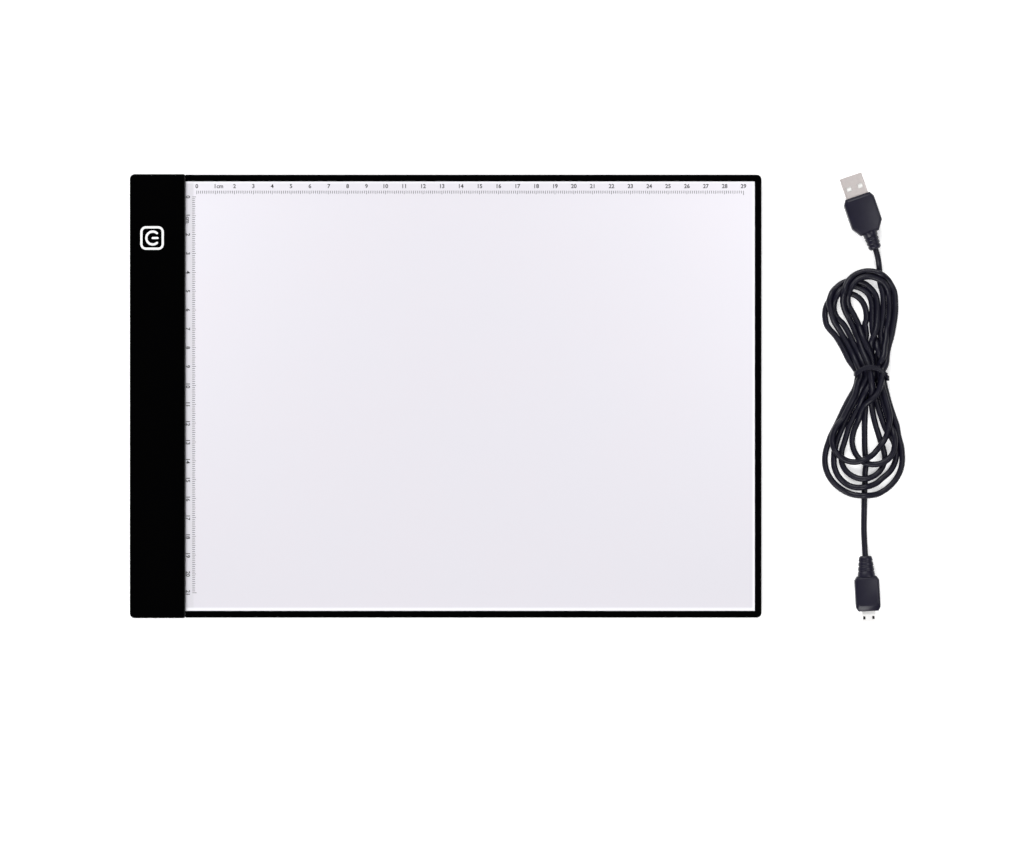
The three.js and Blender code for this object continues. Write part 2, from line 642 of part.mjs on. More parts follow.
function addMicro(cable) {
  const plug = plugAt(cable, MICRO_PLACE, MICRO_GRIP);
  const inside = MICRO.high / 2 - MICRO.wall;
  const halfLatch = LATCH.wide / 2;
  const halfSlot = halfLatch + LATCH_FIT.across;
  const latchX = LATCH.apart / 2;
  const slots = [-latchX, latchX].map((x) => box(x - halfSlot, x + halfSlot,
    LATCH.hookFrom - LATCH_FIT.along, LATCH.hookTo + LATCH_FIT.along, 0, BIG));
  add(plug, 'micro_usb_shell', cut(plugShell(MICRO), ...slots), 'nickel');

  const half = MICRO_CARRIER.wide / 2;
  const low = -inside + MICRO_CARRIER.fit;
  const carrier = join(
    box(-half, half, MATING_GAP, MICRO.reach - MICRO_CARRIER.behindMouth, low, low + MICRO_CARRIER.thick),
    box(-half, half, MATING_GAP, MICRO_CARRIER.block, low, inside - MICRO_CARRIER.fit),
  );
  add(plug, 'micro_usb_contact_carrier', carrier, 'blackNylon');

  const top = inside - LATCH_FIT.roof;
  for (const [name, x] of [['left', latchX], ['right', -latchX]]) {
    const latch = join(
      box(x - halfLatch, x + halfLatch, LATCH.root, LATCH.tip, top - LATCH.thick, top),
      box(x - halfLatch, x + halfLatch, LATCH.hookFrom, LATCH.hookTo, top - LATCH.thick / 2,
        MICRO.high / 2 + LATCH.rise),
    );
    add(plug, `micro_usb_latch_${name}`, latch, 'nickel');
  }
  add(plug, 'micro_usb_grip', plugGrip(MICRO_GRIP), 'blackVinyl');
  add(plug, 'micro_usb_strain_relief', strainRelief(MICRO_GRIP, MICRO_RELIEF), 'blackVinyl');
}

// The folded lead's outer shape: a bow tied at its waist.
function hankOutline() {
  const shape = new THREE.Shape();
  const waist = TIE.inside / 2 - MATING_GAP;
  shape.moveTo(waist, TIE.y);
  shape.bezierCurveTo(9.5, 25, 15.1, 34, 14.8, 47);
  shape.bezierCurveTo(14.5, 60, 7, 69, -2.1, 69);
  shape.bezierCurveTo(-13, 69, -24.5, 58, -24.2, 43.6);
  shape.bezierCurveTo(-23.9, 32, -11, 26, -waist, TIE.y);
  shape.bezierCurveTo(-11.5, -4, -26.2, -16, -26.1, -34);
  shape.bezierCurveTo(-25.9, -46, -15.5, -55.2, -3.1, -55.2);
  shape.bezierCurveTo(9.5, -55.2, 18.7, -46, 18.9, -33);
  shape.bezierCurveTo(18.9, -14, 9, -4, waist, TIE.y);
  return shape;
}

function addHankAndTie(cable) {
  const halfCut = TIE.wide / 2 + MATING_GAP;
  const tieFloor = TIE.thick + MATING_GAP;
  const tieRoof = TIE.thick + TIE.insideHigh - MATING_GAP;
  const waist = TIE.inside / 2 - MATING_GAP;
  const hank = cut(
    prism(hankOutline(), 0, HANK_HEIGHT, 8),
    box(-BIG, BIG, TIE.y - halfCut, TIE.y + halfCut, -1, tieFloor),
    box(-BIG, BIG, TIE.y - halfCut, TIE.y + halfCut, tieRoof, BIG),
    box(-BIG, -waist, TIE.y - halfCut, TIE.y + halfCut, -1, BIG),
    box(waist, BIG, TIE.y - halfCut, TIE.y + halfCut, -1, BIG),
  );
  add(cable, 'cord_hank', hank, 'blackVinyl');

  const inner = TIE.inside / 2;
  const outer = inner + TIE.thick;
  const roof = TIE.insideHigh + TIE.thick;
  const tie = cut(
    prism(rectangle(-outer, outer, 0, roof + TIE.thick, TIE.corner + TIE.thick), 0, TIE.wide),
    prism(rectangle(-inner, inner, TIE.thick, roof, TIE.corner), -1, TIE.wide + 1),
  ).rotateX(Math.PI / 2).translate(0, TIE.y + TIE.wide / 2, 0);
  add(cable, 'cable_tie', tie, 'blackVinyl');
}

// The two stretches that aren't folded away, as points along the middle of the cord.
const routeToUsbA = [
  [2.6, 78.1, 4],
  [3.25, 76.2, 3.9],
  [3.9, 73.6, 3.4],
  [4.4, 71.4, 2.8],
  [4.8, 69.3, 2.25],
];
const routeToMicro = [
  [-2.75, -84.9, 3.5],
  [-3.05, -80, 3.1],
  [-3.35, -72, 2.1],
  [-3.3, -64, 1.7],
  [-3.1, -55.6, 1.65],
];

function addCordRuns(cable) {
  for (const [name, route, steps] of [
    ['cord_to_usb_a', routeToUsbA, 5],
    ['cord_to_micro_usb', routeToMicro, 8],
  ]) {
    const curve = new THREE.CatmullRomCurve3(route.map((point) => new THREE.Vector3(...point)));
    add(cable, name, tube(curve, CORD_DIAMETER / 2, 8, steps), 'blackVinyl');
  }
}

// ---------------------------------------------------------------- assembly

const lightBox = new THREE.Group();
const pad = new THREE.Group();
const cable = new THREE.Group();
cable.position.x = right + CABLE_GAP;
lightBox.add(pad, cable);

addPanel(pad);
addBar(pad);
addElectronics(pad);
addHankAndTie(cable);
addCordRuns(cable);
addUsbA(cable);
addMicro(cable);

export default lightBox;
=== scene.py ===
"""A4 tracing light pad with its tied-up power lead: the looks, built around the packed frame."""

import json
import math

import bmesh
import bpy
import numpy as np
from mathutils import Matrix, Vector


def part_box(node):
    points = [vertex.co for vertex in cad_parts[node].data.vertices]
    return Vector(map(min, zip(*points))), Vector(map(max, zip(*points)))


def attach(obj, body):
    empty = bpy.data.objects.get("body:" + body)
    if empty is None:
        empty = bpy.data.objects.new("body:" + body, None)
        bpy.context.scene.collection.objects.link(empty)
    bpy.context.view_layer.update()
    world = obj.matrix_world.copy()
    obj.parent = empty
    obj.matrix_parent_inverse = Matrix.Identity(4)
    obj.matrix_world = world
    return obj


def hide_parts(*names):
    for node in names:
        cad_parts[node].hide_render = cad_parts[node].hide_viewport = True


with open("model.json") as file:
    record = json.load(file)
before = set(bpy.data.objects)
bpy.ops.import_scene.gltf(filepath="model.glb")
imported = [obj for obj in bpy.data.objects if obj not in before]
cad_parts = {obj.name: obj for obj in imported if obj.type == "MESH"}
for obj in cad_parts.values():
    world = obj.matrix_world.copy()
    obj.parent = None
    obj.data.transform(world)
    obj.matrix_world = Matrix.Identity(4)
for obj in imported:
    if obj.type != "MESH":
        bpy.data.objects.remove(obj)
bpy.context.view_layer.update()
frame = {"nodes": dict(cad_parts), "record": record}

bl_info = {
    "name": "Tracing Light Pad",
    "version": (1, 0, 0),
    "blender": (4, 5, 0),
    "location": "3D View > Sidebar > Light Pad",
    "description": "Dresses a tracing light pad and its power lead, one piece at a time",
    "category": "Object",
}

MM = 0.001
FULL_TURN = 2 * math.pi


def corners(node):
    """A node's lowest and highest corners at rest, as vectors."""
    low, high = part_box(node)
    return Vector(low), Vector(high)


PAD_RIGHT = corners("side_frame")[1].x
PANEL_EDGE = corners("side_frame")[1].y
BAR_RIGHT = corners("bar_top_shell")[1].x
BAR_TOP = corners("bar_top_shell")[1].z
SURFACE_TOP = corners("drawing_surface")[1].z


# ------------------------------------------------------------------ sizes and colours


def length_property(name, description, default):
    """A length in metres."""
    return bpy.props.FloatProperty(
        name=name, description=description, default=default,
        unit="LENGTH", subtype="DISTANCE", precision=5,
    )


def angle_property(name, description, degrees):
    """An angle, given in degrees and kept in radians."""
    return bpy.props.FloatProperty(
        name=name, description=description, default=math.radians(degrees),
        unit="ROTATION", subtype="ANGLE",
    )


def colour_property(name, description, default):
    """A linear colour."""
    return bpy.props.FloatVectorProperty(
        name=name, description=description, default=default,
        size=3, subtype="COLOR", min=0.0, max=1.0,
    )


class CordSizes(bpy.types.PropertyGroup):
    """The power lead's cord and the tie round it."""

    gap: length_property("Gap", "From the pad's far edge to the middle of the tied lead", 0.058)
    diameter: length_property("Diameter", "Outside diameter of the cord", 0.0032)
    step: length_property("Step", "Spacing of the points that the cord settles with", 0.002)
    bend: length_property("Bend", "Radius that the cord springs back from", 0.014)
    tie_wide: length_property("Tie width", "Width of the tie's band", 0.0026)
    tie_thick: length_property("Tie thickness", "Thickness of the tie's band", 0.0008)
    tie_arch: length_property("Tie arch", "How far the band's middle leans over on top", 0.0038)


def plug_sizes(name, doc, **values):
    """A property group for one plug: lengths in mm by name, and `lean` in degrees."""
    fields = {}
    for key, value in values.items():
        label = key.replace("_", " ").capitalize()
        if key == "lean":
            fields[key] = angle_property(label, "Turn of the plug on the table", value)
        elif key == "flatten":
            fields[key] = bpy.props.FloatProperty(
                name=label, description="Height of the strain relief over its width", default=value
            )
        else:
            fields[key] = length_property(label, label + " of the plug", value * MM)
    return type(name, (bpy.types.PropertyGroup,), {"__doc__": doc, "__annotations__": fields})


UsbAPlug = plug_sizes(
    "UsbAPlug", "The big plug.", x=-7.1, y=106.3, lean=19,
    grip_wide=16.6, grip_long=20.9, grip_high=8.0,
    front_chamfer=1.6, rear_chamfer=3.4, front_slope=0.3,
    relief_long=8.2, relief_start=3.95, relief_end=3.3, flatten=1.0, groove=0.35,
    shell_wide=12.0, shell_high=4.5, reach=11.2, sheet=0.35, corner=0.5,
    window_x=3.1, window_y=3.4, window_wide=2.5, window_long=2.5,
)
MicroPlug = plug_sizes(
    "MicroPlug", "The small plug.", x=-1.1, y=-114.1, lean=183.1,
    grip_wide=13.0, grip_long=18.6, grip_high=7.0,
    front_chamfer=1.2, rear_chamfer=1.4, front_slope=1.8,
    relief_long=10.0, relief_start=4.75, relief_end=3.5, flatten=0.72, groove=0.3,
    shell_wide=6.85, shell_high=1.8, reach=5.6, sheet=0.28, corner=0.4,
    window_x=2.4, window_y=2.65, window_wide=1.3, window_long=1.7,
)


class PrintSizes(bpy.types.PropertyGroup):
    """The centimetre scales printed along two sides of the drawing surface."""

    zero_x: length_property("Zero X", "Where the long scale starts", -0.1321)
    ticks_y: length_property("Ticks Y", "Outer ends of the long scale's ticks", 0.1090)
    labels_y: length_property("Labels Y", "Middle of the long scale's numerals", 0.1113)
    zero_y: length_property("Zero Y", "Where the short scale starts", 0.1057)
    ticks_x: length_property("Ticks X", "Outer ends of the short scale's ticks", -0.1345)
    labels_x: length_property("Labels X", "Middle of the short scale's numerals", -0.1369)
    numeral: length_property("Numeral", "Height of the numerals", 0.0021)
    tick: length_property("Tick", "Length of a millimetre tick", 0.0015)
    line: length_property("Line", "Width of a tick", 0.00025)
    weight: length_property("Weight", "How far the numerals' strokes are fattened", 0.00006)
    ink: length_property("Ink", "Thickness of the print", 0.00002)
    long_cm: bpy.props.IntProperty(
        name="Long scale", description="Centimetres along the pad", default=29
    )
    short_cm: bpy.props.IntProperty(
        name="Short scale", description="Centimetres across the pad", default=21
    )


class KeySizes(bpy.types.PropertyGroup):
    """The touch key's printed sign."""

    x: length_property("X", "Middle of the key along the pad", -0.15565)
    y: length_property("Y", "Middle of the key across the pad", 0.0838)
    side: length_property("Side", "Outside of the key's square", 0.0125)
    corner: length_property("Corner", "Corner radius of the square", 0.003)
    stroke: length_property("Stroke", "Width of the lines", 0.0012)
    arc_offset: length_property("Arc offset", "From the key's middle to the arc's centre", 0.00035)
    arc_radius: length_property("Arc radius", "Radius of the standby arc", 0.0034)
    arc_gap: angle_property("Arc gap", "Opening of the standby arc", 98)
    bar: length_property("Bar", "Length of the standby bar", 0.0026)
    ink: length_property("Ink", "Thickness of the print", 0.00003)


class StageSizes(bpy.types.PropertyGroup):
    """The camera and what stands round the pad."""

    view_width: length_property("View width", "Width of table that the picture takes in", 0.5432)
    centre_x: length_property("Centre X", "Middle of the view along the pad", 0.0351)
    centre_y: length_property("Centre Y", "Middle of the view across the pad", -0.0145)
    distance: length_property("Distance", "Camera height over the drawing surface", 2.6)
    floor: colour_property("Floor", "Colour of the table top", (0.88, 0.88, 0.88))


class Colours(bpy.types.PropertyGroup):
    """The colours that show."""

    housing: colour_property("Housing", "Black plastic of the bar and frame", (0.0005, 0.0005, 0.0006))
    surface: colour_property("Surface", "Drawing surface", (0.722, 0.707, 0.751))
    cord: colour_property("Cord", "Cord and tie", (0.0034, 0.003, 0.0098))
    plug: colour_property("Plug", "Moulded plugs", (0.0088, 0.0078, 0.0195))
    metal: colour_property("Metal", "Plated sheet steel", (0.66, 0.605, 0.59))


# ------------------------------------------------------------------ materials


class Wire:
    """A node's output. Sums with it add Math nodes."""

    def __init__(self, tree, socket):
        self.tree = tree
        self.socket = socket

    def math(self, operation, *values):
        """A Math node on these values, held between 0 and 1 where the operation ends in a full stop."""
        settings = {"operation": operation.rstrip("."), "use_clamp": operation.endswith(".")}
        return self.tree.node("Math", settings, dict(enumerate(values)))

    def __add__(self, other):
        return self.math("ADD", self, other)

    def __sub__(self, other):
        return self.math("SUBTRACT", self, other)

    def __rsub__(self, other):
        return self.math("SUBTRACT", other, self)

    def __mul__(self, other):
        return self.math("MULTIPLY", self, other)

    def __truediv__(self, other):
        return self.math("DIVIDE", self, other)

    def __abs__(self):
        return self.math("ABSOLUTE", self)

    __radd__ = __add__
    __rmul__ = __mul__

    def held(self):
        """The same value, held between 0 and 1."""
        return self.math("ADD.", self, 0.0)


class Nodes:
    """A node tree that is built one node at a time."""

    def __init__(self, tree):
        self.tree = tree

    def node(self, kind, settings=None, values=None, output=0):
        """Adds a shader node: first its settings, then its sockets' values or wires."""
        made = self.tree.nodes.new("ShaderNode" + kind)
        for name, setting in (settings or {}).items():
            if name == "stops":
                for element, (place, colour) in zip(self.stops(made.color_ramp, len(setting)), setting):
                    element.position = place
                    element.color = (*colour, 1)
            else:
                setattr(made, name, setting)
        for name, value in (values or {}).items():
            self.feed(made.inputs[name], value)
        return Wire(self, made.outputs[output])

    @staticmethod
    def stops(ramp, count):
        """A colour ramp's stops, with new ones up to the count."""
        while len(ramp.elements) < count:
            ramp.elements.new(0.5)
        return ramp.elements

    def feed(self, socket, value):
        """Links a wire to a socket, or sets the socket to a value."""
        if isinstance(value, Wire):
            self.tree.links.new(value.socket, socket)
        else:
            socket.default_value = value

    def place(self, stretch=(1, 1, 1)):
        """Where a point is on the piece, stretched along each axis."""
        where = self.node("TexCoord", output="Object")
        return self.node("Mapping", {}, {"Vector": where, "Scale": stretch})

    def axis(self, name):
        """One coordinate of the place, in metres."""
        return self.node("SeparateXYZ", {}, {"Vector": self.place()}, output=name)

    def noise(self, size, detail=2.0, stretch=(1, 1, 1)):
        """Cloudy noise from 0 to 1, whose blobs are `size` metres across."""
        return self.node(
            "TexNoise", {}, {"Vector": self.place(stretch), "Scale": 1 / size, "Detail": detail}
        )

    def cells(self, size, stretch=(1, 1, 1)):
        """Distance from the nearest of scattered points that lie `size` metres apart."""
        return self.node("TexVoronoi", {}, {"Vector": self.place(stretch), "Scale": 1 / size})

    def mix(self, share, first, second):
        """A colour between two colours."""
        return self.node("Mix", {"data_type": "RGBA"}, {0: share, 6: first, 7: second}, output=2)


class Finish(Nodes):
    """A material on one Principled shader."""

    def __init__(self, name, **constants):
        self.material = bpy.data.materials.new(name)
        self.material.use_nodes = True
        super().__init__(self.material.node_tree)
        self.shader = self.tree.nodes["Principled BSDF"]
        for socket, value in constants.items():
            self.shader.inputs[socket.replace("_", " ")].default_value = value

    def set(self, **values):
        """Feeds the shader's sockets, named with an underscore for each space."""
        for socket, value in values.items():
            self.feed(self.shader.inputs[socket.replace("_", " ")], value)
        return self

    def shades(self, colour, spread, size, detail=3.0):
        """The colour, a little darker and lighter in clouds."""
        dark = (*(c * (1 - spread) for c in colour), 1)
        light = (*(min(1.0, c * (1 + spread)) for c in colour), 1)
        return self.mix(self.noise(size, detail), dark, light)

    def bump(self, height, depth, strength=1.0):
        """Raises the surface by the height, whose full range is `depth` metres."""
        normal = self.node("Bump", {}, {"Height": height, "Distance": depth, "Strength": strength})
        return self.set(Normal=normal)


def moulded(name, colour, roughness, grain, depth, spread=0.12, **constants):
    """Moulded plastic or rubber with a spark-eroded grain and faint flow marks."""
    finish = Finish(name, **constants)
    fine = finish.noise(grain, 3.0)
    flow = finish.noise(0.018, 2.0, (1, 0.35, 1))
    finish.set(
        Base_Color=finish.shades(colour, spread, 0.004),
        Roughness=(roughness - 0.05) + 0.06 * fine + 0.05 * flow,
    )
    return finish.bump(fine + 0.3 * finish.noise(grain * 4), depth)


def housing_finish(colours):
    """Black moulded plastic with a very fine grain."""
    return moulded(
        "black_bar_plastic", colours.housing, 0.14, 0.00028, 0.0000008,
        IOR=1.46, Specular_IOR_Level=0.22,
    )


# The painted highlight along the rim round the field, the strip of painted shade under the short scale
# beside the bar, and the slope of the steps between them, in metres and per metre.
RIM_RIGHT = 0.0052
RIM_FAR = 0.0050
RIM_NEAR = 0.0058
BAR_SHADE_X = -0.1333
STEP_SLOPE = 900
# How much lighter the painted light makes the far side.
PAINTED_LIGHT_GAIN = 1.164


def surface_finish(colours):
    """Milky acrylic, brighter towards the far side and along its edges, with a polished skin."""
    finish = Finish("milky_acrylic", IOR=1.49)
    across = finish.axis("Y")
    along = finish.axis("X")
    # Painted light: the colour grows lighter towards the far side and towards both ends.
    near_side = (*colours.surface, 1)
    painted_far_light = (*(c * PAINTED_LIGHT_GAIN for c in colours.surface), 1)
    off_centre = abs(along / PAD_RIGHT)
    rise = (across * 5.0 + 0.5).held()
    tone_and_painted_light = finish.mix(rise * (0.3 + 0.7 * (off_centre * off_centre)), near_side, painted_far_light)
    clouds = finish.noise(0.05, 2.0)
    blush = finish.mix(clouds, (1.0, 0.985, 0.99, 1), (0.985, 0.99, 1.0, 1))
    tone_and_painted_light = finish.node(
        "Mix", {"data_type": "RGBA", "blend_type": "MULTIPLY"}, {0: 1.0, 6: tone_and_painted_light, 7: blush}, output=2
    )
    # Painted highlight: a pale rim along the right, far and near edges, next to the frame.
    right_rim_highlight = ((along - (PAD_RIGHT - RIM_RIGHT)) * STEP_SLOPE).held()
    far_rim_highlight = ((across - (PANEL_EDGE - RIM_FAR)) * STEP_SLOPE).held()
    near_rim_highlight = (((-PANEL_EDGE + RIM_NEAR) - across) * STEP_SLOPE).held()
    edge = (right_rim_highlight + far_rim_highlight + near_rim_highlight).held()
    # Painted shade: a darker strip beside the raised bar, under the short scale.
    bar_shade_strip = ((BAR_SHADE_X - along) * STEP_SLOPE).held()
    tone_and_painted_light = finish.mix(bar_shade_strip * 0.75, tone_and_painted_light, (*(c * 0.9 for c in colours.surface), 1))
    # Lays the painted highlight of the rim over the surface's colour.
    colour = finish.mix(edge * 0.9, tone_and_painted_light, (0.92, 0.915, 0.95, 1))
    finish.set(Base_Color=colour, Roughness=0.36 + 0.08 * finish.noise(0.006, 3.0))
    return finish.bump(finish.noise(0.0009, 2.0), 0.0000015)


def ink_finish(name, colour, roughness):
    """Screen-printed ink with slightly uneven cover."""
    finish = Finish(name)
    finish.set(
        Base_Color=finish.shades(colour, 0.12, 0.0005),
        Roughness=roughness + 0.1 * finish.noise(0.0006),
    )
    return finish.bump(finish.noise(0.0002), 0.000004)


def metal_finish(name, colour, roughness, brushed=(1, 1, 1), **constants):
    """Plated metal with fine drawing lines and soft tarnish."""
    finish = Finish(name, **constants)
    lines = finish.noise(0.00025, 4.0, brushed)
    worn = finish.noise(0.0022, 3.0)
    dull = (*(c * 0.8 for c in colour), 1)
    finish.set(
        Base_Color=finish.mix(worn, (*colour, 1), dull),
        Roughness=(roughness - 0.05) + 0.1 * lines + 0.06 * worn,
    )
    return finish.bump(lines, 0.000004)


def cord_finish(colours):
    """Extruded vinyl: a satin skin with faint drag lines and a whitish bloom."""
    finish = Finish("cord_vinyl", IOR=1.5, Specular_IOR_Level=0.22, Coat_Roughness=0.28)
    bloom = finish.noise(0.006, 3.0)
    pale = (*(c * 1.6 for c in colours.cord), 1)
    finish.set(
        Base_Color=finish.mix((bloom - 0.35) * 1.4, (*colours.cord, 1), pale),
        Roughness=0.4 + 0.12 * bloom + 0.06 * finish.noise(0.0009),
        Coat_Weight=0.06 + 0.22 * bloom,
    )
    return finish.bump(finish.noise(0.0007, 3.0), 0.000014)


def film_finish():
    """Milky film with a fine matt tooth."""
    finish = Finish("milky_film", IOR=1.5)
    finish.set(
        Base_Color=finish.shades((0.9, 0.9, 0.89), 0.02, 0.01),
        Roughness=0.55 + 0.1 * finish.noise(0.0004),
    )
    return finish.bump(finish.cells(0.0003), 0.000005)


def guide_finish():
    """Clear acrylic with printed dots that grow away from the lamps."""
    finish = Finish("dotted_acrylic", IOR=1.49, Transmission_Weight=0.85)
    spot = finish.cells(0.0011)
    reach = (finish.axis("X") - BAR_RIGHT) / (PAD_RIGHT - BAR_RIGHT)
    dots = ((0.22 + 0.3 * reach - spot) * 12).held()
    finish.set(
        Base_Color=finish.mix(dots, (0.84, 0.92, 0.93, 1), (0.95, 0.95, 0.95, 1)),
        Roughness=0.06 + 0.5 * dots,
    )
    return finish.bump(dots, 0.00001)


def foam_finish():
    """Closed-cell foam."""
    finish = Finish("grey_foam")
    holes = finish.cells(0.0005)
    finish.set(
        Base_Color=finish.mix(holes, (0.36, 0.36, 0.36, 1), (0.14, 0.14, 0.14, 1)), Roughness=0.92
    )
    return finish.bump(holes, 0.00008)


def circuit_finish():
    """Green solder mask over copper tracks, with tinned pads."""
    finish = Finish("solder_mask", IOR=1.5)
    tracks = finish.node(
        "TexBrick", {}, {"Vector": finish.place(), "Scale": 160.0, "Mortar Size": 0.03}, output="Fac"
    )
    pads = ((0.13 - finish.cells(0.0026)) * 20).held()
    mask = finish.mix(tracks, (0.012, 0.13, 0.04, 1), (0.03, 0.24, 0.08, 1))
    finish.set(
        Base_Color=finish.mix(pads, mask, (0.7, 0.7, 0.68, 1)),
        Roughness=0.32 + 0.1 * finish.noise(0.002),
        Metallic=pads,
    )
    return finish.bump(tracks + pads, 0.00003)


LAMPS = 24
LAMP_FACE = 0.3 * MM


def led_board_finish():
    """White solder mask with amber lamp faces at an even pitch."""
    finish = Finish("lamp_strip", IOR=1.5)
    low, high = corners("led_strip")
    half_pitch = (high.y - low.y) / LAMPS / 2
    along = finish.axis("Y") - low.y
    wave = along.math("PINGPONG", along, half_pitch)
    lamp = ((wave / half_pitch - 0.6) * 14).held()
    lamp = lamp * ((finish.axis("X") - (high.x - LAMP_FACE)) * 1e5).held()
    finish.set(
        Base_Color=finish.mix(lamp, (0.84, 0.84, 0.81, 1), (0.83, 0.62, 0.14, 1)),
        Roughness=0.45 - 0.2 * lamp,
    )
    return finish.bump(finish.noise(0.001), 0.00001)


def all_finishes(colours):
    """Every material slot's finish, by the slot's name."""
    plug = tuple(colours.plug)
    metal = tuple(colours.metal)
    made = {
        "black_housing": housing_finish(colours),
        "drawing_surface": surface_finish(colours),
        "light_guide": guide_finish(),
        "film": film_finish(),
        "foam": foam_finish(),
        "foot_rubber": moulded("foot_rubber", (0.016, 0.016, 0.017), 0.75, 0.0005, 0.00004),
        "screw": metal_finish("zinc_plate", (0.5, 0.5, 0.52), 0.34, (4, 4, 1), Metallic=1.0),
        "led_board": led_board_finish(),
        "circuit_board": circuit_finish(),
        "chip": moulded("chip_package", (0.012, 0.012, 0.013), 0.5, 0.0002, 0.000012),
        "capacitor": moulded("tan_ceramic", (0.42, 0.27, 0.13), 0.4, 0.0004, 0.00001),
        "copper": metal_finish("bare_copper", (0.78, 0.4, 0.22), 0.3, (1, 6, 1), Metallic=1.0),
        "connector_metal": metal_finish("nickel_plate", metal, 0.42, (5, 1, 5), Metallic=0.5),
        # A lighter copy of the plated steel for the small plug's shell: painted light.
        "painted_light_metal": metal_finish("painted_light_plate", (0.98, 0.97, 0.96), 0.4, (5, 1, 5), Metallic=0.15),
        # Dark steel for the latches, which paints the shade seen through the shell's windows.
        "latch_painted_shade": metal_finish(
            "dark_spring_steel", (0.035, 0.034, 0.036), 0.5, (1, 5, 1), Metallic=0.7
        ),
        "black_insulator": moulded("black_nylon", (0.01, 0.01, 0.012), 0.42, 0.0003, 0.000008),
        "white_insulator": moulded("white_nylon", (0.84, 0.84, 0.82), 0.4, 0.0003, 0.000008, 0.03),
        "contact_gold": metal_finish("gold_plate", (0.86, 0.62, 0.25), 0.22, (1, 6, 1), Metallic=1.0),
        "plug_black": moulded(
            "plug_vinyl", plug, 0.36, 0.00035, 0.000012, 0.2, IOR=1.5, Specular_IOR_Level=0.35
        ),
        "cord_black": cord_finish(colours),
        "wire_red": moulded("red_insulation", (0.5, 0.02, 0.02), 0.4, 0.0006, 0.00001),
        "wire_black": moulded("black_insulation", (0.01, 0.01, 0.01), 0.4, 0.0006, 0.00001),
        "scale_ink": ink_finish("scale_ink", (0.012, 0.012, 0.018), 0.45),
        "key_ink": ink_finish("key_ink", (0.94, 0.94, 0.94), 0.5),
    }
    return {slot: finish.material for slot, finish in made.items()}


# ------------------------------------------------------------------ small tools

MATERIALS = {}


def new_object(name, data, body, slot, material=None):
    """Links a piece to the scene, on its body and with its material slot and finish."""
    piece = bpy.data.objects.new(name, data)
    data.materials.clear()
    data.materials.append(MATERIALS[material or slot])
    bpy.context.scene.collection.objects.link(piece)
    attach(piece, body)
    return piece


def smoothed(shape, name, sharp):
    """A mesh from a bmesh, smooth up to `sharp` degrees."""
    mesh = bpy.data.meshes.new(name)
    shape.to_mesh(mesh)
    shape.free()
    mesh.shade_smooth()
    mesh.set_sharp_from_angle(angle=math.radians(sharp))
    return mesh


def piece_from(shape, name, body, slot, place=None, sharp=32, material=None):
    """A finished piece from a bmesh in metres: placed, facing out, smooth up to `sharp` degrees."""
    if place:
        bmesh.ops.transform(shape, matrix=place, verts=shape.verts)
    bmesh.ops.remove_doubles(shape, verts=shape.verts, dist=1e-7)
    bmesh.ops.recalc_face_normals(shape, faces=shape.faces)
    return new_object(name, smoothed(shape, name, sharp), body, slot, material)


def sharp_edges(shape, degrees):
    """The edges where two faces of a bmesh meet at more than this."""
    limit = math.radians(degrees)
    return [e for e in shape.edges if len(e.link_faces) == 2 and e.calc_face_angle() > limit]


def new_verts(made):
    """The vertices that an extrusion made."""
    return [item for item in made["geom"] if isinstance(item, bmesh.types.BMVert)]


def bevel(shape, geom, width, segments=3, affect="EDGES"):
    """Rounds off some edges or corners of a bmesh."""
    bmesh.ops.bevel(
        shape, geom=list(geom), offset=width, offset_type="OFFSET", segments=segments,
        profile=0.5, affect=affect, clamp_overlap=True, material=-1,
    )


def slot_of(node):
    """The material slot that the record gives a node."""
    parts = frame["record"]["subparts"]
    return next(part["material_slot"] for part in parts if part["node"] == node)


def eased_copy(node, body, width):
    """A copy of a rigid node with its sharp edges rounded off, standing in for it."""
    shape = bmesh.new()
    shape.from_mesh(frame["nodes"][node].data)
    bmesh.ops.remove_doubles(shape, verts=shape.verts, dist=2e-6)
    bmesh.ops.dissolve_limit(
        shape, angle_limit=math.radians(1), verts=shape.verts, edges=shape.edges, delimit={"NORMAL"}
    )
    bevel(shape, sharp_edges(shape, 28), width, 2)
    name = node + "_eased"
    piece = new_object(name, smoothed(shape, name, 50), body, slot_of(node))
    weighted = piece.modifiers.new("flat_faces_stay_flat", "WEIGHTED_NORMAL")
    weighted.keep_sharp = True
    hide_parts(node)
    return piece


def turned(profile, steps, axis=(0, 0, 1)):
    """A closed bmesh spun from a profile of (radius, height) points, in metres, about Z or Y."""
    shape = bmesh.new()
    upright = axis[2] == 1
    verts = [shape.verts.new((r, 0, h) if upright else (r, h, 0)) for r, h in profile]
    edges = [shape.edges.new(pair) for pair in zip(verts, verts[1:])]
    bmesh.ops.spin(
        shape, geom=verts + edges, cent=(0, 0, 0), axis=axis, angle=FULL_TURN, steps=steps,
        use_merge=True,
    )
    bmesh.ops.remove_doubles(shape, verts=shape.verts, dist=1e-7)
    return shape


# ------------------------------------------------------------------ the cord

# Along the middle of the cord, in mm from the middle of the tied lead: the two stretches
# that aren't folded away.
TO_USB_A = (
    (2.6, 78.1, 4.0),
    (3.25, 76.2, 3.9),
    (3.9, 73.6, 3.4),
    (4.4, 71.4, 2.8),
    (4.8, 69.3, 2.25),
)
TO_MICRO = (
    (-2.75, -84.9, 3.5),
    (-3.05, -80.0, 3.1),
    (-3.35, -72.0, 2.1),
    (-3.3, -64.0, 1.7),
    (-3.1, -55.6, 1.65),
)

# Where the cord passes through the tie: across and up, layer on layer.
WAIST_Y = 11.5
SLOTS = {
    "low": ((-6.5, 2.5), (-3.25, 2.5), (0.0, 2.5), (3.25, 2.5), (6.5, 2.5)),
    "middle": ((-5.1, 5.3), (-1.8, 5.3), (1.4, 5.3), (4.6, 5.3)),
    "high": ((-0.2, 8.1), (5.9, 8.2)),
}

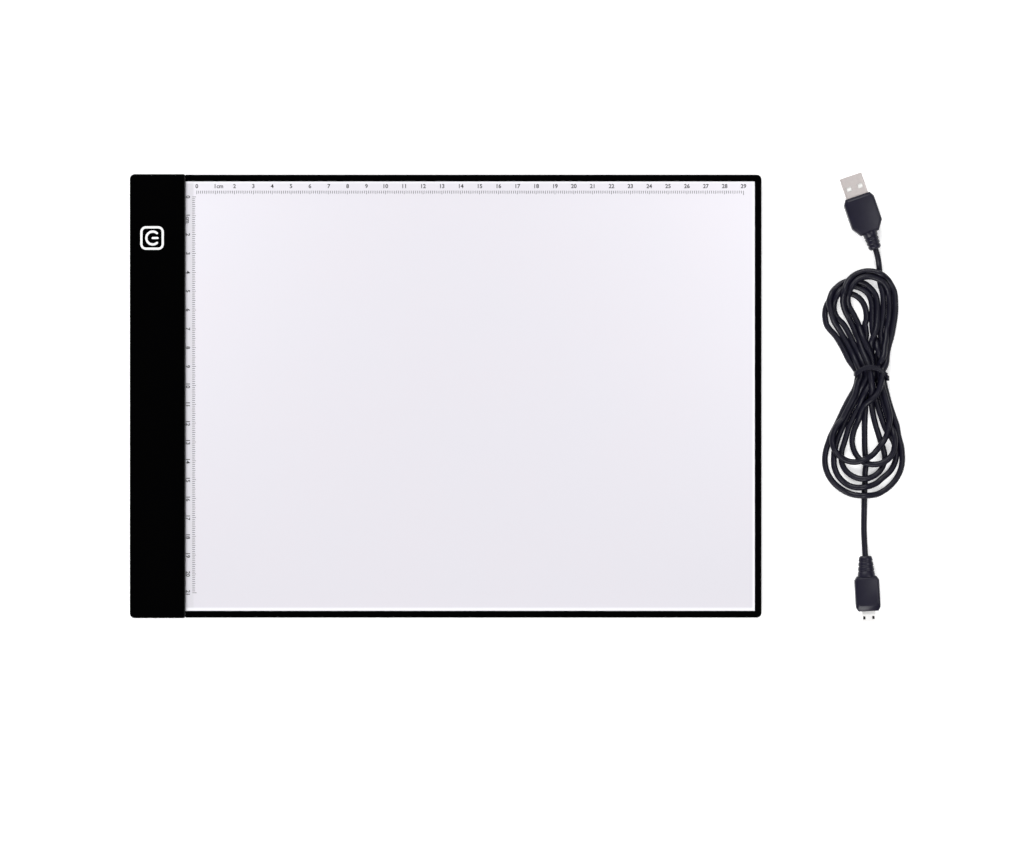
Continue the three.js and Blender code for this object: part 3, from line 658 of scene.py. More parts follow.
# The folds of the bow in turn, far side and near side, in mm: how high each one lies, its points
# seen from above, and the place in the tie that it goes back through.
FOLDS = (
    (1.7, (
        (-3.3, 22), (-3.6, 36.8), (-3.2, 43), (-4.2, 48.6), (-7.2, 53.2), (-12.0, 55.4), (-17.2, 54.4),
        (-21.2, 50.4), (-22.5, 44.0), (-20.9, 36.8), (-16.5, 29.5), (-11.5, 22.5), (-8.2, 17.0),
    ), ("low", 0)),
    (5.0, (
        (-8.0, 5), (-11.5, -3.5), (-16, -12.5), (-20.8, -21.5), (-24.2, -31), (-23.6, -39.5),
        (-19.3, -46.5), (-12.2, -51.5), (-3, -53.6), (5.5, -51.6), (12.3, -46.3), (16.6, -39),
        (17.2, -31), (14.9, -21.5), (11.4, -12), (8.4, -3), (7, 5),
    ), ("low", 4)),
    (4.6, (
        (4.6, 19), (3.0, 27), (1.6, 35), (1.5, 42.5), (0.0, 50.0), (-3.6, 56.0), (-8.6, 58.6),
        (-13.6, 57.2), (-17.0, 52.6), (-17.6, 46.5), (-14.6, 40.6), (-10.8, 32.5), (-7.6, 24.3),
        (-4.6, 17.5),
    ), ("middle", 1)),
    (5.0, (
        (-5.0, 4), (-9.4, -5), (-13.6, -14), (-17.4, -22.5), (-19.4, -30), (-19.0, -37), (-16.6, -43.2),
        (-12.2, -47.4), (-6.0, -49.4), (0.4, -47.6), (6.3, -43.4), (12.0, -38.6), (14.3, -31.5),
        (13.0, -23), (9.6, -13), (5.6, -4), (2.4, 4),
    ), ("low", 2)),
    (5.0, (
        (1.2, 18), (2.1, 25), (3.4, 34), (4.1, 41), (2.2, 48.4), (-1.2, 54.6), (-5.0, 59.6),
        (-9.8, 62.5), (-14.8, 61.2), (-18.6, 57.2), (-20.2, 51.0), (-19.2, 43), (-15.6, 34.1),
        (-11.4, 26.5), (-7.9, 18.9),
    ), ("middle", 0)),
    (9.0, (
        (-6.8, 5), (-9.4, -2.5), (-13.6, -10.5), (-17.8, -18), (-19.9, -24.5), (-18.4, -30.6),
        (-13.4, -34.2), (-6.5, -34.3), (0.0, -31.3), (5.4, -26.3), (9.2, -20), (10.4, -13), (9.6, -6),
        (7.9, 1), (6.2, 6),
    ), ("middle", 3)),
    (8.0, (
        (5.2, 18), (7, 28), (9.0, 38), (9.9, 47), (8.6, 55.5), (4.6, 61.4), (-1.4, 63.8), (-7.4, 62.0),
        (-11.1, 57.2), (-11.5, 51.0), (-9.4, 44.5), (-6.2, 38), (-3.2, 31), (-0.9, 24), (0.6, 17.9),
    ), ("middle", 2)),
    (7.0, (
        (-1.2, 4.5), (-5, -3.5), (-9.0, -12), (-12.6, -21), (-14.6, -29.0), (-14.0, -36.4), (-9.6, -42),
        (-3.2, -44.4), (2.6, -42.2), (6.0, -36.4), (6.6, -29.6), (4.9, -22.0), (2.4, -14.5), (0.8, -7),
        (0.0, 1.5),
    ), ("high", 0)),
    (9.0, (
        (-2.0, 17.9), (-3.9, 26), (-7.0, 34.1), (-10.6, 41.1), (-13.6, 48.2), (-14.7, 54.5),
        (-13.0, 60.6), (-8.6, 65.1), (-2.2, 67.0), (5.0, 64.9), (10.3, 59.2), (12.9, 51.0), (12.6, 43),
        (10.6, 33), (8.2, 23), (6.6, 17),
    ), ("high", 1)),
    (8.0, (
        (5.6, 6.0), (2.4, 0.6), (-3.6, -4.4), (-7.6, -10), (-9.7, -16.5), (-9.0, -23.5), (-6.2, -29.5),
        (-2.4, -34.6), (2.6, -37.4), (7.2, -36.0), (10.0, -31), (11.0, -24), (9.8, -15), (7.4, -6),
        (4.4, 4),
    ), ("low", 3)),
)
UP_TO_THE_TIE = tuple((-3.1, y, 1.65) for y in (-46, -34, -22, -10)) + ((-3.2, 2.0, 1.9),)
OUT_TO_THE_PLUG = (
    (3.9, 20.0, 2.0),
    (5.2, 30.0, 1.7),
    (6.6, 40.0, 1.7),
    (7.3, 48.0, 1.7),
    (7.2, 56.0, 1.7),
    (6.2, 63.0, 1.7),
)
EASING_POINTS = 3


def fold_points():
    """The cord's course from the small plug to the big one, before it settles."""
    points = [*TO_MICRO, *UP_TO_THE_TIE]
    layer, number = "low", 1
    for height, plan, (next_layer, next_number) in FOLDS:
        across, up = SLOTS[layer][number]
        next_up = SLOTS[next_layer][next_number][1]
        points.append((across, WAIST_Y, up))
        for i, (x, y) in enumerate(plan):
            left = len(plan) - 1 - i
            if left < EASING_POINTS:
                z = next_up + (height - next_up) * left / EASING_POINTS
            else:
                z = up + (height - up) * min(1, i / EASING_POINTS)
            points.append((x, y, z))
        layer, number = next_layer, next_number
    across, up = SLOTS[layer][number]
    points.append((across, WAIST_Y, up))
    return points + [*OUT_TO_THE_PLUG, *reversed(TO_USB_A)]


def smooth_course(points, step):
    """Points `step` apart on a smooth curve through the given ones."""
    p = np.array(points, float)
    padded = np.vstack([2 * p[0] - p[1], p, 2 * p[-1] - p[-2]])
    fine = []
    for i in range(1, len(padded) - 2):
        a, b, c, d = padded[i - 1 : i + 3]
        for t in np.linspace(0, 1, 24, endpoint=False):
            slow = (2 * a - 5 * b + 4 * c - d) * t**2
            fast = (3 * b - 3 * c + d - a) * t**3
            fine.append(0.5 * (2 * b + (c - a) * t + slow + fast))
    fine = np.array(fine + [p[-1]])
    along = np.concatenate([[0], np.cumsum(np.linalg.norm(np.diff(fine, axis=0), axis=1))])
    at = np.linspace(0, along[-1], round(along[-1] / step) + 1)
    return np.column_stack([np.interp(at, along, fine[:, k]) for k in range(3)])


# How the cord settles, in mm: its drop in each round, first and last, the lengths that the small
# and the big plug hold, the tie's grip, the reach that counts as close, the shortest way along the
# cord between two strands that can touch, and the table's clearance.
DROP = 0.05
LAST_DROP = 0.015
HELD_AT_MICRO = 26
HELD_AT_USB_A = 9
GRIPPED = 2.4
CLOSE = 2.5
APART_ALONG = 6
OVER_TABLE = 0.05

# The shares of each wish that one round grants: to run straight, to keep to its course, to stay
# put in the tie, to leave another strand, and to open a bend that is too tight.
STRAIGHTEN = 0.1
KEEP_COURSE = 0.02
STAY_TIED = 0.3
LEAVE_STRAND = 1.3
OPEN_BEND = 0.3


def settle(course, diameter, bend, rounds=600):
    """Lets the cord drop, spring open and push its own turns aside, with both ends held."""
    p = course.copy()
    count = len(p)
    rest = np.linalg.norm(np.diff(course, axis=0), axis=1).mean()
    free = np.ones(count, bool)
    free[: int(HELD_AT_MICRO / rest)] = False
    free[-int(HELD_AT_USB_A / rest) :] = False
    waist = np.abs(course[:, 1] - WAIST_Y) < GRIPPED
    order = np.arange(count)
    first, second = np.nonzero(order[None, :] - order[:, None] >= math.ceil(APART_ALONG / rest))
    chords = [(k, 2 * bend * math.sin(k * rest / bend)) for k in (3, 4, 5)]
    for turn in range(rounds):
        p[free, 2] -= DROP if turn < 0.8 * rounds else LAST_DROP
        middle = 0.5 * (p[:-2] + p[2:])
        p[1:-1] += STRAIGHTEN * (middle - p[1:-1]) * free[1:-1, None]
        p[:, :2] += KEEP_COURSE * (course[:, :2] - p[:, :2]) * free[:, None]
        p[waist] += STAY_TIED * (course[waist] - p[waist])
        if turn % 8 == 0:
            close = np.linalg.norm(p[first] - p[second], axis=1) < diameter + CLOSE
            a, b = first[close], second[close]
        for _ in range(3):
            delta = p[b] - p[a]
            gap = np.maximum(np.linalg.norm(delta, axis=1), 1e-6)
            hit = gap < diameter
            push = (0.5 * (diameter - gap[hit]) / gap[hit])[:, None] * delta[hit]
            total = np.zeros_like(p)
            hits = np.ones(count)
            np.add.at(total, b[hit], push)
            np.add.at(total, a[hit], -push)
            np.add.at(hits, a[hit], 1)
            np.add.at(hits, b[hit], 1)
            shove = total / np.maximum(hits - 1, 1)[:, None] * LEAVE_STRAND
            p += np.where(free[:, None], shove, 0)
            for k, chord in chords:
                spread_apart(p, free, 2 * k, chord)
            span = p[1:] - p[:-1]
            size = np.linalg.norm(span, axis=1)[:, None]
            fix = 0.5 * (size - rest) / size * span
            p[:-1] += np.where(free[:-1, None], fix, 0)
            p[1:] -= np.where(free[1:, None], fix, 0)
            p[:, 2] = np.maximum(p[:, 2], 0.5 * diameter + OVER_TABLE)
        p[~free] = course[~free]
    return p


def spread_apart(p, free, steps, chord):
    """Pushes points that many steps apart towards the chord of the cord's own bend."""
    span = p[steps:] - p[:-steps]
    size = np.maximum(np.linalg.norm(span, axis=1), 1e-6)
    fix = (OPEN_BEND * np.maximum(chord - size, 0) / size)[:, None] * span
    p[steps:] += np.where(free[steps:, None], fix, 0)
    p[:-steps] -= np.where(free[:-steps, None], fix, 0)


class LIGHTPAD_OT_cord(bpy.types.Operator):
    """Folds the power lead's cord into its bow and lays it on the table"""

    bl_idname = "lightpad.cord"
    bl_label = "Cord"

    def execute(self, context):
        sizes = context.scene.light_pad_cord
        course = smooth_course(fold_points(), sizes.step / MM)
        course = settle(course, sizes.diameter / MM, sizes.bend / MM)
        origin = Vector((PAD_RIGHT + sizes.gap, 0, 0))
        places = [origin + Vector(p) * MM for p in course]
        curve = bpy.data.curves.new("power_cord", "CURVE")
        curve.dimensions = "3D"
        curve.bevel_depth = sizes.diameter / 2
        curve.bevel_resolution = 4
        curve.resolution_u = 3
        curve.use_fill_caps = True
        spline = curve.splines.new("BEZIER")
        spline.bezier_points.add(len(places) - 1)
        for point, place in zip(spline.bezier_points, places, strict=True):
            point.co = place
            point.handle_left_type = point.handle_right_type = "AUTO"
        piece = new_object("power_cord", curve, "cable", "cord_black")
        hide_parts("cord_hank", "cord_to_usb_a", "cord_to_micro_usb")
        return {"FINISHED"}


# ------------------------------------------------------------------ the tie


TIE_SQUARENESS = 0.42


def tie_band(sizes, start, end, width, lift, lean):
    """A strap from one angle to another round the bundle, `lift` outside the tie's first turn."""
    low, high = corners("cable_tie")
    middle = (low + high) / 2
    half_x = (high.x - low.x) / 2 - sizes.tie_thick / 2 + lift
    half_z = (high.z - low.z) / 2 - sizes.tie_thick / 2 + lift
    shape = bmesh.new()
    bmesh.ops.create_grid(shape, x_segments=72, y_segments=2, size=0.5)
    for vert in shape.verts:
        turn = start + (vert.co.x + 0.5) * (end - start)
        x = math.copysign(abs(math.cos(turn)) ** TIE_SQUARENESS, math.cos(turn)) * half_x
        z = math.copysign(abs(math.sin(turn)) ** TIE_SQUARENESS, math.sin(turn)) * half_z
        arch = sizes.tie_arch * max(0.0, math.sin(turn)) ** 2 * (1 - (x / half_x) ** 2)
        y = vert.co.y * width + arch + lean * (x / half_x)
        vert.co = (middle.x + x, middle.y + y, middle.z + z)
    bmesh.ops.remove_doubles(shape, verts=shape.verts, dist=1e-6)
    bmesh.ops.recalc_face_normals(shape, faces=shape.faces)
    bmesh.ops.solidify(shape, geom=shape.faces, thickness=sizes.tie_thick)
    bevel(shape, sharp_edges(shape, 60), sizes.tie_thick * 0.3, 2)
    return shape


class LIGHTPAD_OT_tie(bpy.types.Operator):
    """Straps the folded lead together with a vinyl tie and its lapped end"""

    bl_idname = "lightpad.tie"
    bl_label = "Tie"

    def execute(self, context):
        sizes = context.scene.light_pad_cord
        band = tie_band(sizes, 0, FULL_TURN, sizes.tie_wide, 0, -0.0004)
        piece = piece_from(band, "lead_tie", "cable", "cord_black", sharp=50)
        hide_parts("cable_tie")
        start, end = math.radians(-42), math.radians(48)
        lap = tie_band(sizes, start, end, sizes.tie_wide * 0.95, sizes.tie_thick, -0.0021)
        piece_from(lap, "lead_tie_end", "cable", "cord_black", sharp=50)
        return {"FINISHED"}


# ------------------------------------------------------------------ the plugs


def plug_place(sizes):
    """Where a plug lies: +Y out of its mouth, Y 0 at the front of its grip."""
    gap = bpy.context.scene.light_pad_cord.gap
    seat = Matrix.Translation((PAD_RIGHT + gap + sizes.x, sizes.y, sizes.grip_high / 2))
    return seat @ Matrix.Rotation(sizes.lean, 4, "Z")


GRIP_RIM = 1.15 * MM
GRIP_EDGE = 0.22 * MM
PARTING_LINE = 0.12 * MM
PARTING_DEPTH = 0.982


def plug_grip(sizes):
    """The moulded grip: an eight-sided block with chamfered rims, rounded edges and a parting line."""
    half = sizes.grip_wide / 2
    side = (
        (half - sizes.front_chamfer, 0),
        (half, -1.6 * sizes.front_chamfer),
        (half, 1.5 * sizes.rear_chamfer - sizes.grip_long),
        (half - sizes.rear_chamfer, -sizes.grip_long),
    )
    shape = bmesh.new()
    outline = [*side, *((-x, y) for x, y in reversed(side))]
    face = shape.faces.new([shape.verts.new((x, y, -sizes.grip_high / 2)) for x, y in outline])
    tall = 0.5 * sizes.grip_high - PARTING_LINE
    for rise, grow in (
        (tall, 1), (PARTING_LINE, PARTING_DEPTH), (PARTING_LINE, 1 / PARTING_DEPTH), (tall, 1)
    ):
        made = bmesh.ops.extrude_face_region(shape, geom=[face])
        verts = new_verts(made)
        shape.faces.remove(face)
        face = next(f for f in made["geom"] if isinstance(f, bmesh.types.BMFace))
        bmesh.ops.translate(shape, verts=verts, vec=(0, 0, rise))
        bmesh.ops.scale(
            shape, verts=verts, vec=(grow, 1 + 0.6 * (grow - 1), 1),
            space=Matrix.Translation((0, sizes.grip_long / 2, 0)),
        )
    level = sizes.grip_high / 2 - 0.01 * MM
    rims = [e for e in shape.edges if all(abs(v.co.z) > level for v in e.verts)]
    bevel(shape, rims, GRIP_RIM, 1)
    front = [v for v in shape.verts if abs(v.co.z) > level and v.co.y > -0.2 * sizes.grip_long]
    bmesh.ops.translate(shape, verts=front, vec=(0, -sizes.front_slope, 0))
    outer = [e for e in sharp_edges(shape, 25) if max(abs(v.co.z) for v in e.verts) > 4 * PARTING_LINE]
    bevel(shape, outer, GRIP_EDGE)
    return shape


GROOVES_ALONG = (0.3, 0.52, 0.74)


def strain_relief(sizes, cord_diameter):
    """The ribbed sleeve behind a grip, down to a soft lip round the cord."""
    start = -sizes.grip_long + 0.6 * MM
    long = sizes.relief_long + 1.4 * MM
    profile = [(0, start), (sizes.relief_start, start)]
    for share in GROOVES_ALONG:
        radius = sizes.relief_start + (sizes.relief_end - sizes.relief_start) * share
        at = start - share * long
        groove = radius - sizes.groove
        profile += [
            (radius, at + 0.42 * MM), (radius - 0.08 * MM, at + 0.32 * MM),
            (groove, at + 0.2 * MM), (groove, at - 0.2 * MM),
            (radius - 0.08 * MM, at - 0.32 * MM), (radius, at - 0.42 * MM),
        ]
    end = start - long
    profile += [
        (sizes.relief_end + 0.1 * MM, end + 1.5 * MM), (sizes.relief_end + 0.02 * MM, end + 0.95 * MM),
        (sizes.relief_end - 0.3 * MM, end + 0.4 * MM), (sizes.relief_end - 0.9 * MM, end + 0.05 * MM),
        (cord_diameter / 2 + 0.35 * MM, end), (cord_diameter / 2 + 0.02 * MM, end + 0.4 * MM),
        (0, end + 0.8 * MM),
    ]
    shape = turned(profile, 36, (0, 1, 0))
    bmesh.ops.scale(shape, verts=shape.verts, vec=(1, 1, sizes.flatten))
    return shape


def plug_shell(sizes, windows_below):
    """The folded sheet-steel shell, with a pair of windows on top and perhaps below."""
    shape = bmesh.new()
    bmesh.ops.create_grid(shape, x_segments=1, y_segments=1, size=0.5)
    bmesh.ops.scale(shape, verts=shape.verts, vec=(sizes.shell_wide, sizes.shell_high, 1))
    bevel(shape, shape.verts, sizes.corner, 5, "VERTICES")
    bmesh.ops.delete(shape, geom=shape.faces[:], context="FACES_ONLY")
    upright = Matrix.Rotation(math.pi / 2, 3, "X")
    bmesh.ops.rotate(shape, verts=shape.verts, cent=(0, 0, 0), matrix=upright)
    inside_grip = 1.0 * MM
    bmesh.ops.translate(shape, verts=shape.verts, vec=(0, -inside_grip, 0))
    mouth = new_verts(bmesh.ops.extrude_edge_only(shape, edges=shape.edges[:]))
    bmesh.ops.translate(shape, verts=mouth, vec=(0, sizes.reach + inside_grip, 0))
    half = sizes.window_wide / 2
    ends = (sizes.window_y, sizes.window_y + sizes.window_long)
    sides = [side * sizes.window_x + edge for side in (-1, 1) for edge in (-half, half)]
    planes = [((x, 0, 0), (1, 0, 0)) for x in sides] + [((0, y, 0), (0, 1, 0)) for y in ends]
    for point, normal in planes:
        whole = shape.verts[:] + shape.edges[:] + shape.faces[:]
        bmesh.ops.bisect_plane(shape, geom=whole, plane_co=point, plane_no=normal)
    holes = []
    for face in shape.faces:
        middle = face.calc_center_median()
        flat = abs(middle.z) > sizes.shell_high / 2 - 1e-6 and (windows_below or middle.z > 0)
        if flat and abs(abs(middle.x) - sizes.window_x) < half and ends[0] < middle.y < ends[1]:
            holes.append(face)
    bmesh.ops.delete(shape, geom=holes, context="FACES")
    bmesh.ops.recalc_face_normals(shape, faces=shape.faces)
    centre = shape.faces[0].calc_center_median()
    if shape.faces[0].normal.dot(Vector((centre.x, 0, centre.z))) < 0:
        bmesh.ops.reverse_faces(shape, faces=shape.faces)
    bmesh.ops.solidify(shape, geom=shape.faces[:], thickness=sizes.sheet)
    return shape


class LIGHTPAD_OT_plugs(bpy.types.Operator):
    """Makes both plugs: moulded grips, ribbed strain reliefs and folded metal shells"""

    bl_idname = "lightpad.plugs"
    bl_label = "Plugs"

    def execute(self, context):
        scene = context.scene
        diameter = scene.light_pad_cord.diameter
        for label, sizes, windows_below in (
            ("usb_a", scene.light_pad_usb_a, True),
            ("micro_usb", scene.light_pad_micro, False),
        ):
            place = plug_place(sizes)
            # The small plug's shell takes the lighter copy of the plated steel, which is painted light.
            look = "connector_metal" if windows_below else "painted_light_metal"
            relief = strain_relief(sizes, diameter)
            shell = plug_shell(sizes, windows_below)
            for shape, made, node, slot, sharp, material in (
                (plug_grip(sizes), "_moulded_grip", "_grip", "plug_black", 26, None),
                (relief, "_ribbed_relief", "_strain_relief", "plug_black", 50, None),
                (shell, "_metal_shell", "_shell", "connector_metal", 40, look),
            ):
                piece = piece_from(shape, label + made, "cable", slot, place, sharp, material)
                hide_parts(label + node)
        return {"FINISHED"}


# ------------------------------------------------------------------ the pad


SHELL_EDGE = 0.12 * MM
SURFACE_EDGE = 0.08 * MM


class LIGHTPAD_OT_housing(bpy.types.Operator):
    """Rounds off the bar's two shells, the frame and the drawing surface"""

    bl_idname = "lightpad.housing"
    bl_label = "Housing"

    def execute(self, context):
        for node in ("bar_top_shell", "bar_bottom_shell", "side_frame"):
            eased_copy(node, "pad", SHELL_EDGE)
        eased_copy("drawing_surface", "pad", SURFACE_EDGE)
        return {"FINISHED"}


class LIGHTPAD_OT_feet(bpy.types.Operator):
    """Turns the six rubber feet, each with a rounded rim and a shallow cup"""

    bl_idname = "lightpad.feet"
    bl_label = "Feet"

    def execute(self, context):
        for row in ("bar", "middle", "end"):
            for side in ("upper", "lower"):
                node = f"foot_{row}_{side}"
                low, high = corners(node)
                radius = (high.x - low.x) / 2
                tall = high.z - low.z
                profile = (
                    (0, tall), (radius, tall), (radius, 0.4 * tall), (radius - 0.08 * MM, 0.18 * tall),
                    (radius - 0.25 * MM, 0.05 * tall), (radius - 0.5 * MM, 0),
                    (0.62 * radius, 0), (0.55 * radius, 0.1 * tall), (0, 0.16 * tall),
                )
                middle = (low + high) / 2
                place = Matrix.Translation((middle.x, middle.y, low.z))
                shape = turned(profile, 48)
                foot = piece_from(shape, node + "_cupped", "pad", "foot_rubber", place, 40)
                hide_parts(node)
        return {"FINISHED"}


def text_shape(shape, words, size, weight, ink, place):
    """Adds printed words to a bmesh, centred on the place."""
    curve = bpy.data.curves.new("words", "FONT")
    curve.body = words
    curve.size = size
    curve.extrude = ink / 2
    curve.offset = weight
    curve.resolution_u = 3
    curve.align_x = "CENTER"
    curve.align_y = "CENTER"
    holder = bpy.data.objects.new("words", curve)
    mesh = bpy.data.meshes.new_from_object(holder)
    mesh.transform(place @ Matrix.Translation((0, 0, ink / 2)))
    shape.from_mesh(mesh)
    bpy.data.objects.remove(holder)
    bpy.data.curves.remove(curve)
    bpy.data.meshes.remove(mesh)


LONGER_TICK = 0.2 * MM


def scale_marks(shape, sizes, count_cm, place):
    """Adds a scale to a bmesh: zero at the place's origin, numbers along its +X, ticks down -Y."""
    for i in range(10 * count_cm + 1):
        longer = (i % 5 == 0) + (i % 10 == 0) + 2 * (i == 10 * count_cm)
        long = sizes.tick + longer * LONGER_TICK
        box = Matrix.Translation((i * MM, -long / 2, sizes.ink / 2))
        box = box @ Matrix.Diagonal((sizes.line, long, sizes.ink, 1))
        bmesh.ops.create_cube(shape, size=1, matrix=place @ box)


class LIGHTPAD_OT_scales(bpy.types.Operator):
    """Prints the two centimetre scales on the drawing surface"""

    bl_idname = "lightpad.scales"
    bl_label = "Scales"

    def execute(self, context):
        sizes = context.scene.light_pad_print
        text_size = sizes.numeral / 0.7
        shape = bmesh.new()
        along = Matrix.Translation((sizes.zero_x, sizes.ticks_y, SURFACE_TOP))
        turned_down = Matrix.Translation((sizes.ticks_x, sizes.zero_y, SURFACE_TOP))
        turned_down = turned_down @ Matrix.Rotation(-math.pi / 2, 4, "Z")
        turned_down = turned_down @ Matrix.Diagonal((1, -1, 1, 1))
        scale_marks(shape, sizes, sizes.long_cm, along)
        scale_marks(shape, sizes, sizes.short_cm, turned_down)
        for count, across, place, turn in (
            (sizes.long_cm, True, (sizes.zero_x, sizes.labels_y), 0),
            (sizes.short_cm, False, (sizes.labels_x, sizes.zero_y), -math.pi / 2),
        ):
            for i in range(count + 1):
                words = "1cm" if i == 1 else str(i)
                ahead = 10 * i * MM + (0.5 * text_size if i == 1 else 0)
                x = place[0] + (ahead if across else 0)
                y = place[1] - (0 if across else ahead)
                seat = Matrix.Translation((x, y, SURFACE_TOP)) @ Matrix.Rotation(turn, 4, "Z")
                text_shape(shape, words, text_size, sizes.weight, sizes.ink, seat)
        piece_from(shape, "printed_scales", "pad", "drawing_surface", material="scale_ink")
        return {"FINISHED"}


class LIGHTPAD_OT_key_sign(bpy.types.Operator):
    """Prints the touch key's square and standby sign on the bar"""

    bl_idname = "lightpad.key_sign"
    bl_label = "Key Sign"

    def execute(self, context):
        sizes = context.scene.light_pad_key
        shape = bmesh.new()
        bmesh.ops.create_grid(shape, x_segments=1, y_segments=1, size=sizes.side / 2)
        bevel(shape, shape.verts, sizes.corner, 8, "VERTICES")
        square = shape.faces[:]
        bmesh.ops.inset_region(
            shape, faces=square, thickness=sizes.stroke, use_boundary=True, use_even_offset=True
        )
        bmesh.ops.delete(shape, geom=square, context="FACES")
        bmesh.ops.translate(shape, verts=shape.verts, vec=(-sizes.arc_offset, 0, 0))
        half = sizes.stroke / 2
        start = sizes.arc_gap / 2
        direction = Vector((math.cos(start), math.sin(start), 0))
        radii = (sizes.arc_radius - half, sizes.arc_radius, sizes.arc_radius + half)
        verts = [shape.verts.new(direction * r) for r in radii]
        edges = [shape.edges.new(pair) for pair in zip(verts, verts[1:])]
        sweep = FULL_TURN - sizes.arc_gap
        up = (0, 0, 1)
        bmesh.ops.spin(shape, geom=verts + edges, cent=(0, 0, 0), axis=up, angle=sweep, steps=40)
        for angle, way in ((start, -1), (-start, 1)):
            end = Vector((math.cos(angle), math.sin(angle), 0))
            cap = [shape.verts.new(end * r) for r in radii[1:]]
            around = [*cap, shape.edges.new(cap)]
            turn = way * math.pi
            bmesh.ops.spin(shape, geom=around, cent=cap[0].co, axis=up, angle=turn, steps=10)
        stem = bmesh.ops.create_circle(shape, cap_ends=True, radius=half * 0.95, segments=24)
        tip = [v for v in stem["verts"] if v.co.x > 1e-7]
        bmesh.ops.translate(shape, verts=tip, vec=(sizes.bar, 0, 0))
        bmesh.ops.remove_doubles(shape, verts=shape.verts, dist=1e-6)
        bmesh.ops.recalc_face_normals(shape, faces=shape.faces)
        top = new_verts(bmesh.ops.extrude_face_region(shape, geom=shape.faces[:]))
        bmesh.ops.translate(shape, verts=top, vec=(0, 0, sizes.ink))
        place = Matrix.Translation((sizes.x + sizes.arc_offset, sizes.y, BAR_TOP))
        piece_from(shape, "printed_key_sign", "pad", "black_housing", place, material="key_ink")
        return {"FINISHED"}


class LIGHTPAD_OT_finishes(bpy.types.Operator):
    """Makes every finish, and gives each rigid part its own"""

    bl_idname = "lightpad.finishes"
    bl_label = "Finishes"

    def execute(self, context):
        MATERIALS.update(all_finishes(context.scene.light_pad_colours))
        for part in frame["record"]["subparts"]:
            mesh = frame["nodes"][part["node"]].data
            mesh.materials.clear()
            # The latches take the dark steel that paints the shade in the windows.
            latch = "latch" in part["node"]
            mesh.materials.append(MATERIALS["latch_painted_shade" if latch else part["material_slot"]])
        return {"FINISHED"}


# ------------------------------------------------------------------ the stage


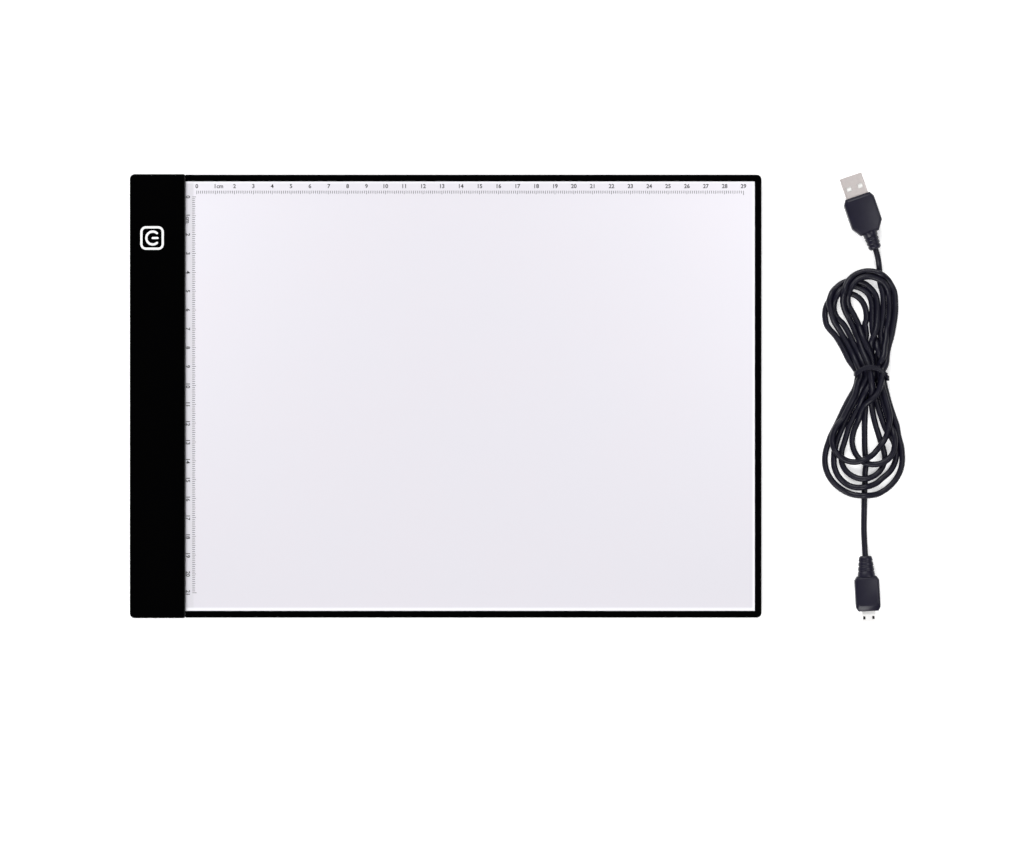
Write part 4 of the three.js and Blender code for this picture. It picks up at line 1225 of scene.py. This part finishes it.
class LIGHTPAD_OT_stage(bpy.types.Operator):
    """Puts the camera straight above, on a pale table in soft light"""

    bl_idname = "lightpad.stage"
    bl_label = "Stage"

    def execute(self, context):
        sizes = context.scene.light_pad_stage
        scene = context.scene
        camera = bpy.data.cameras.new("camera")
        camera.sensor_width = 36.0
        camera.lens = camera.sensor_width * sizes.distance / sizes.view_width
        camera.clip_end = 20.0
        seat = bpy.data.objects.new("camera", camera)
        seat.location = (sizes.centre_x, sizes.centre_y, SURFACE_TOP + sizes.distance)
        scene.collection.objects.link(seat)
        scene.camera = seat

        shape = bmesh.new()
        bmesh.ops.create_grid(shape, x_segments=1, y_segments=1, size=6.0)
        mesh = bpy.data.meshes.new("table_top")
        shape.to_mesh(mesh)
        shape.free()
        floor = bpy.data.objects.new("table_top", mesh)
        scene.collection.objects.link(floor)
        table = Finish(
            "table_white", Base_Color=(*sizes.floor, 1), Roughness=0.9,
            Emission_Color=(1, 1, 1, 1), Emission_Strength=0.5,
        )
        mesh.materials.append(table.material)

        world = bpy.data.worlds.new("studio")
        world.use_nodes = True
        sky = Nodes(world.node_tree)
        direction = sky.node("TexCoord", output="Generated")
        up = sky.node("SeparateXYZ", {}, {"Vector": direction}, output="Z")
        stops = (
            (0.0, (0.12, 0.12, 0.13)),
            (0.35, (0.2, 0.2, 0.21)),
            (0.75, (0.015, 0.015, 0.015)),
        )
        ramp = sky.node("ValToRGB", {"stops": stops}, {"Fac": up})
        sky.feed(world.node_tree.nodes["Background"].inputs["Color"], ramp)
        scene.world = world
        for name, place, width, depth, power in (
            ("far_light", (-0.55, 2.0, 1.9), 2.0, 1.2, 61),
            ("near_light", (-0.45, -2.0, 1.9), 2.0, 1.2, 56),
            ("lead_light", (1.2, 0.0, 2.3), 0.8, 1.0, 14),
        ):
            light = bpy.data.lights.new(name, "AREA")
            light.shape = "RECTANGLE"
            light.size = width
            light.size_y = depth
            light.energy = power
            lamp = bpy.data.objects.new(name, light)
            lamp.location = place
            lamp.rotation_euler = (-Vector(place)).to_track_quat("-Z", "Y").to_euler()
            scene.collection.objects.link(lamp)
        scene.view_settings.view_transform = "Standard"
        return {"FINISHED"}


class LIGHTPAD_PT_panel(bpy.types.Panel):
    """Lists the pieces of the light pad"""

    bl_label = "Light Pad"
    bl_idname = "LIGHTPAD_PT_panel"
    bl_space_type = "VIEW_3D"
    bl_region_type = "UI"
    bl_category = "Light Pad"

    def draw(self, context):
        column = self.layout.column()
        for operator in OPERATORS:
            column.operator(operator.bl_idname)


GROUPS = {
    "light_pad_cord": CordSizes,
    "light_pad_usb_a": UsbAPlug,
    "light_pad_micro": MicroPlug,
    "light_pad_print": PrintSizes,
    "light_pad_key": KeySizes,
    "light_pad_stage": StageSizes,
    "light_pad_colours": Colours,
}
OPERATORS = (
    LIGHTPAD_OT_stage,
    LIGHTPAD_OT_finishes,
    LIGHTPAD_OT_plugs,
    LIGHTPAD_OT_tie,
    LIGHTPAD_OT_cord,
    LIGHTPAD_OT_housing,
    LIGHTPAD_OT_feet,
    LIGHTPAD_OT_scales,
    LIGHTPAD_OT_key_sign,
)
CLASSES = (*GROUPS.values(), *OPERATORS, LIGHTPAD_PT_panel)


def register():
    """Registers the classes, and hangs the sizes on the scene."""
    for cls in CLASSES:
        bpy.utils.register_class(cls)
    for name, group in GROUPS.items():
        setattr(bpy.types.Scene, name, bpy.props.PointerProperty(type=group))


def unregister():
    """Undoes register."""
    for name in GROUPS:
        delattr(bpy.types.Scene, name)
    for cls in reversed(CLASSES):
        bpy.utils.unregister_class(cls)


def main():
    """Makes every piece in order, and writes the two boxes that have to agree."""
    register()
    bpy.ops.lightpad.stage()
    bpy.ops.lightpad.finishes()
    bpy.ops.lightpad.plugs()
    bpy.ops.lightpad.tie()
    bpy.ops.lightpad.cord()
    bpy.ops.lightpad.housing()
    bpy.ops.lightpad.feet()
    bpy.ops.lightpad.scales()
    bpy.ops.lightpad.key_sign()


if __name__ == "__main__":
    main()
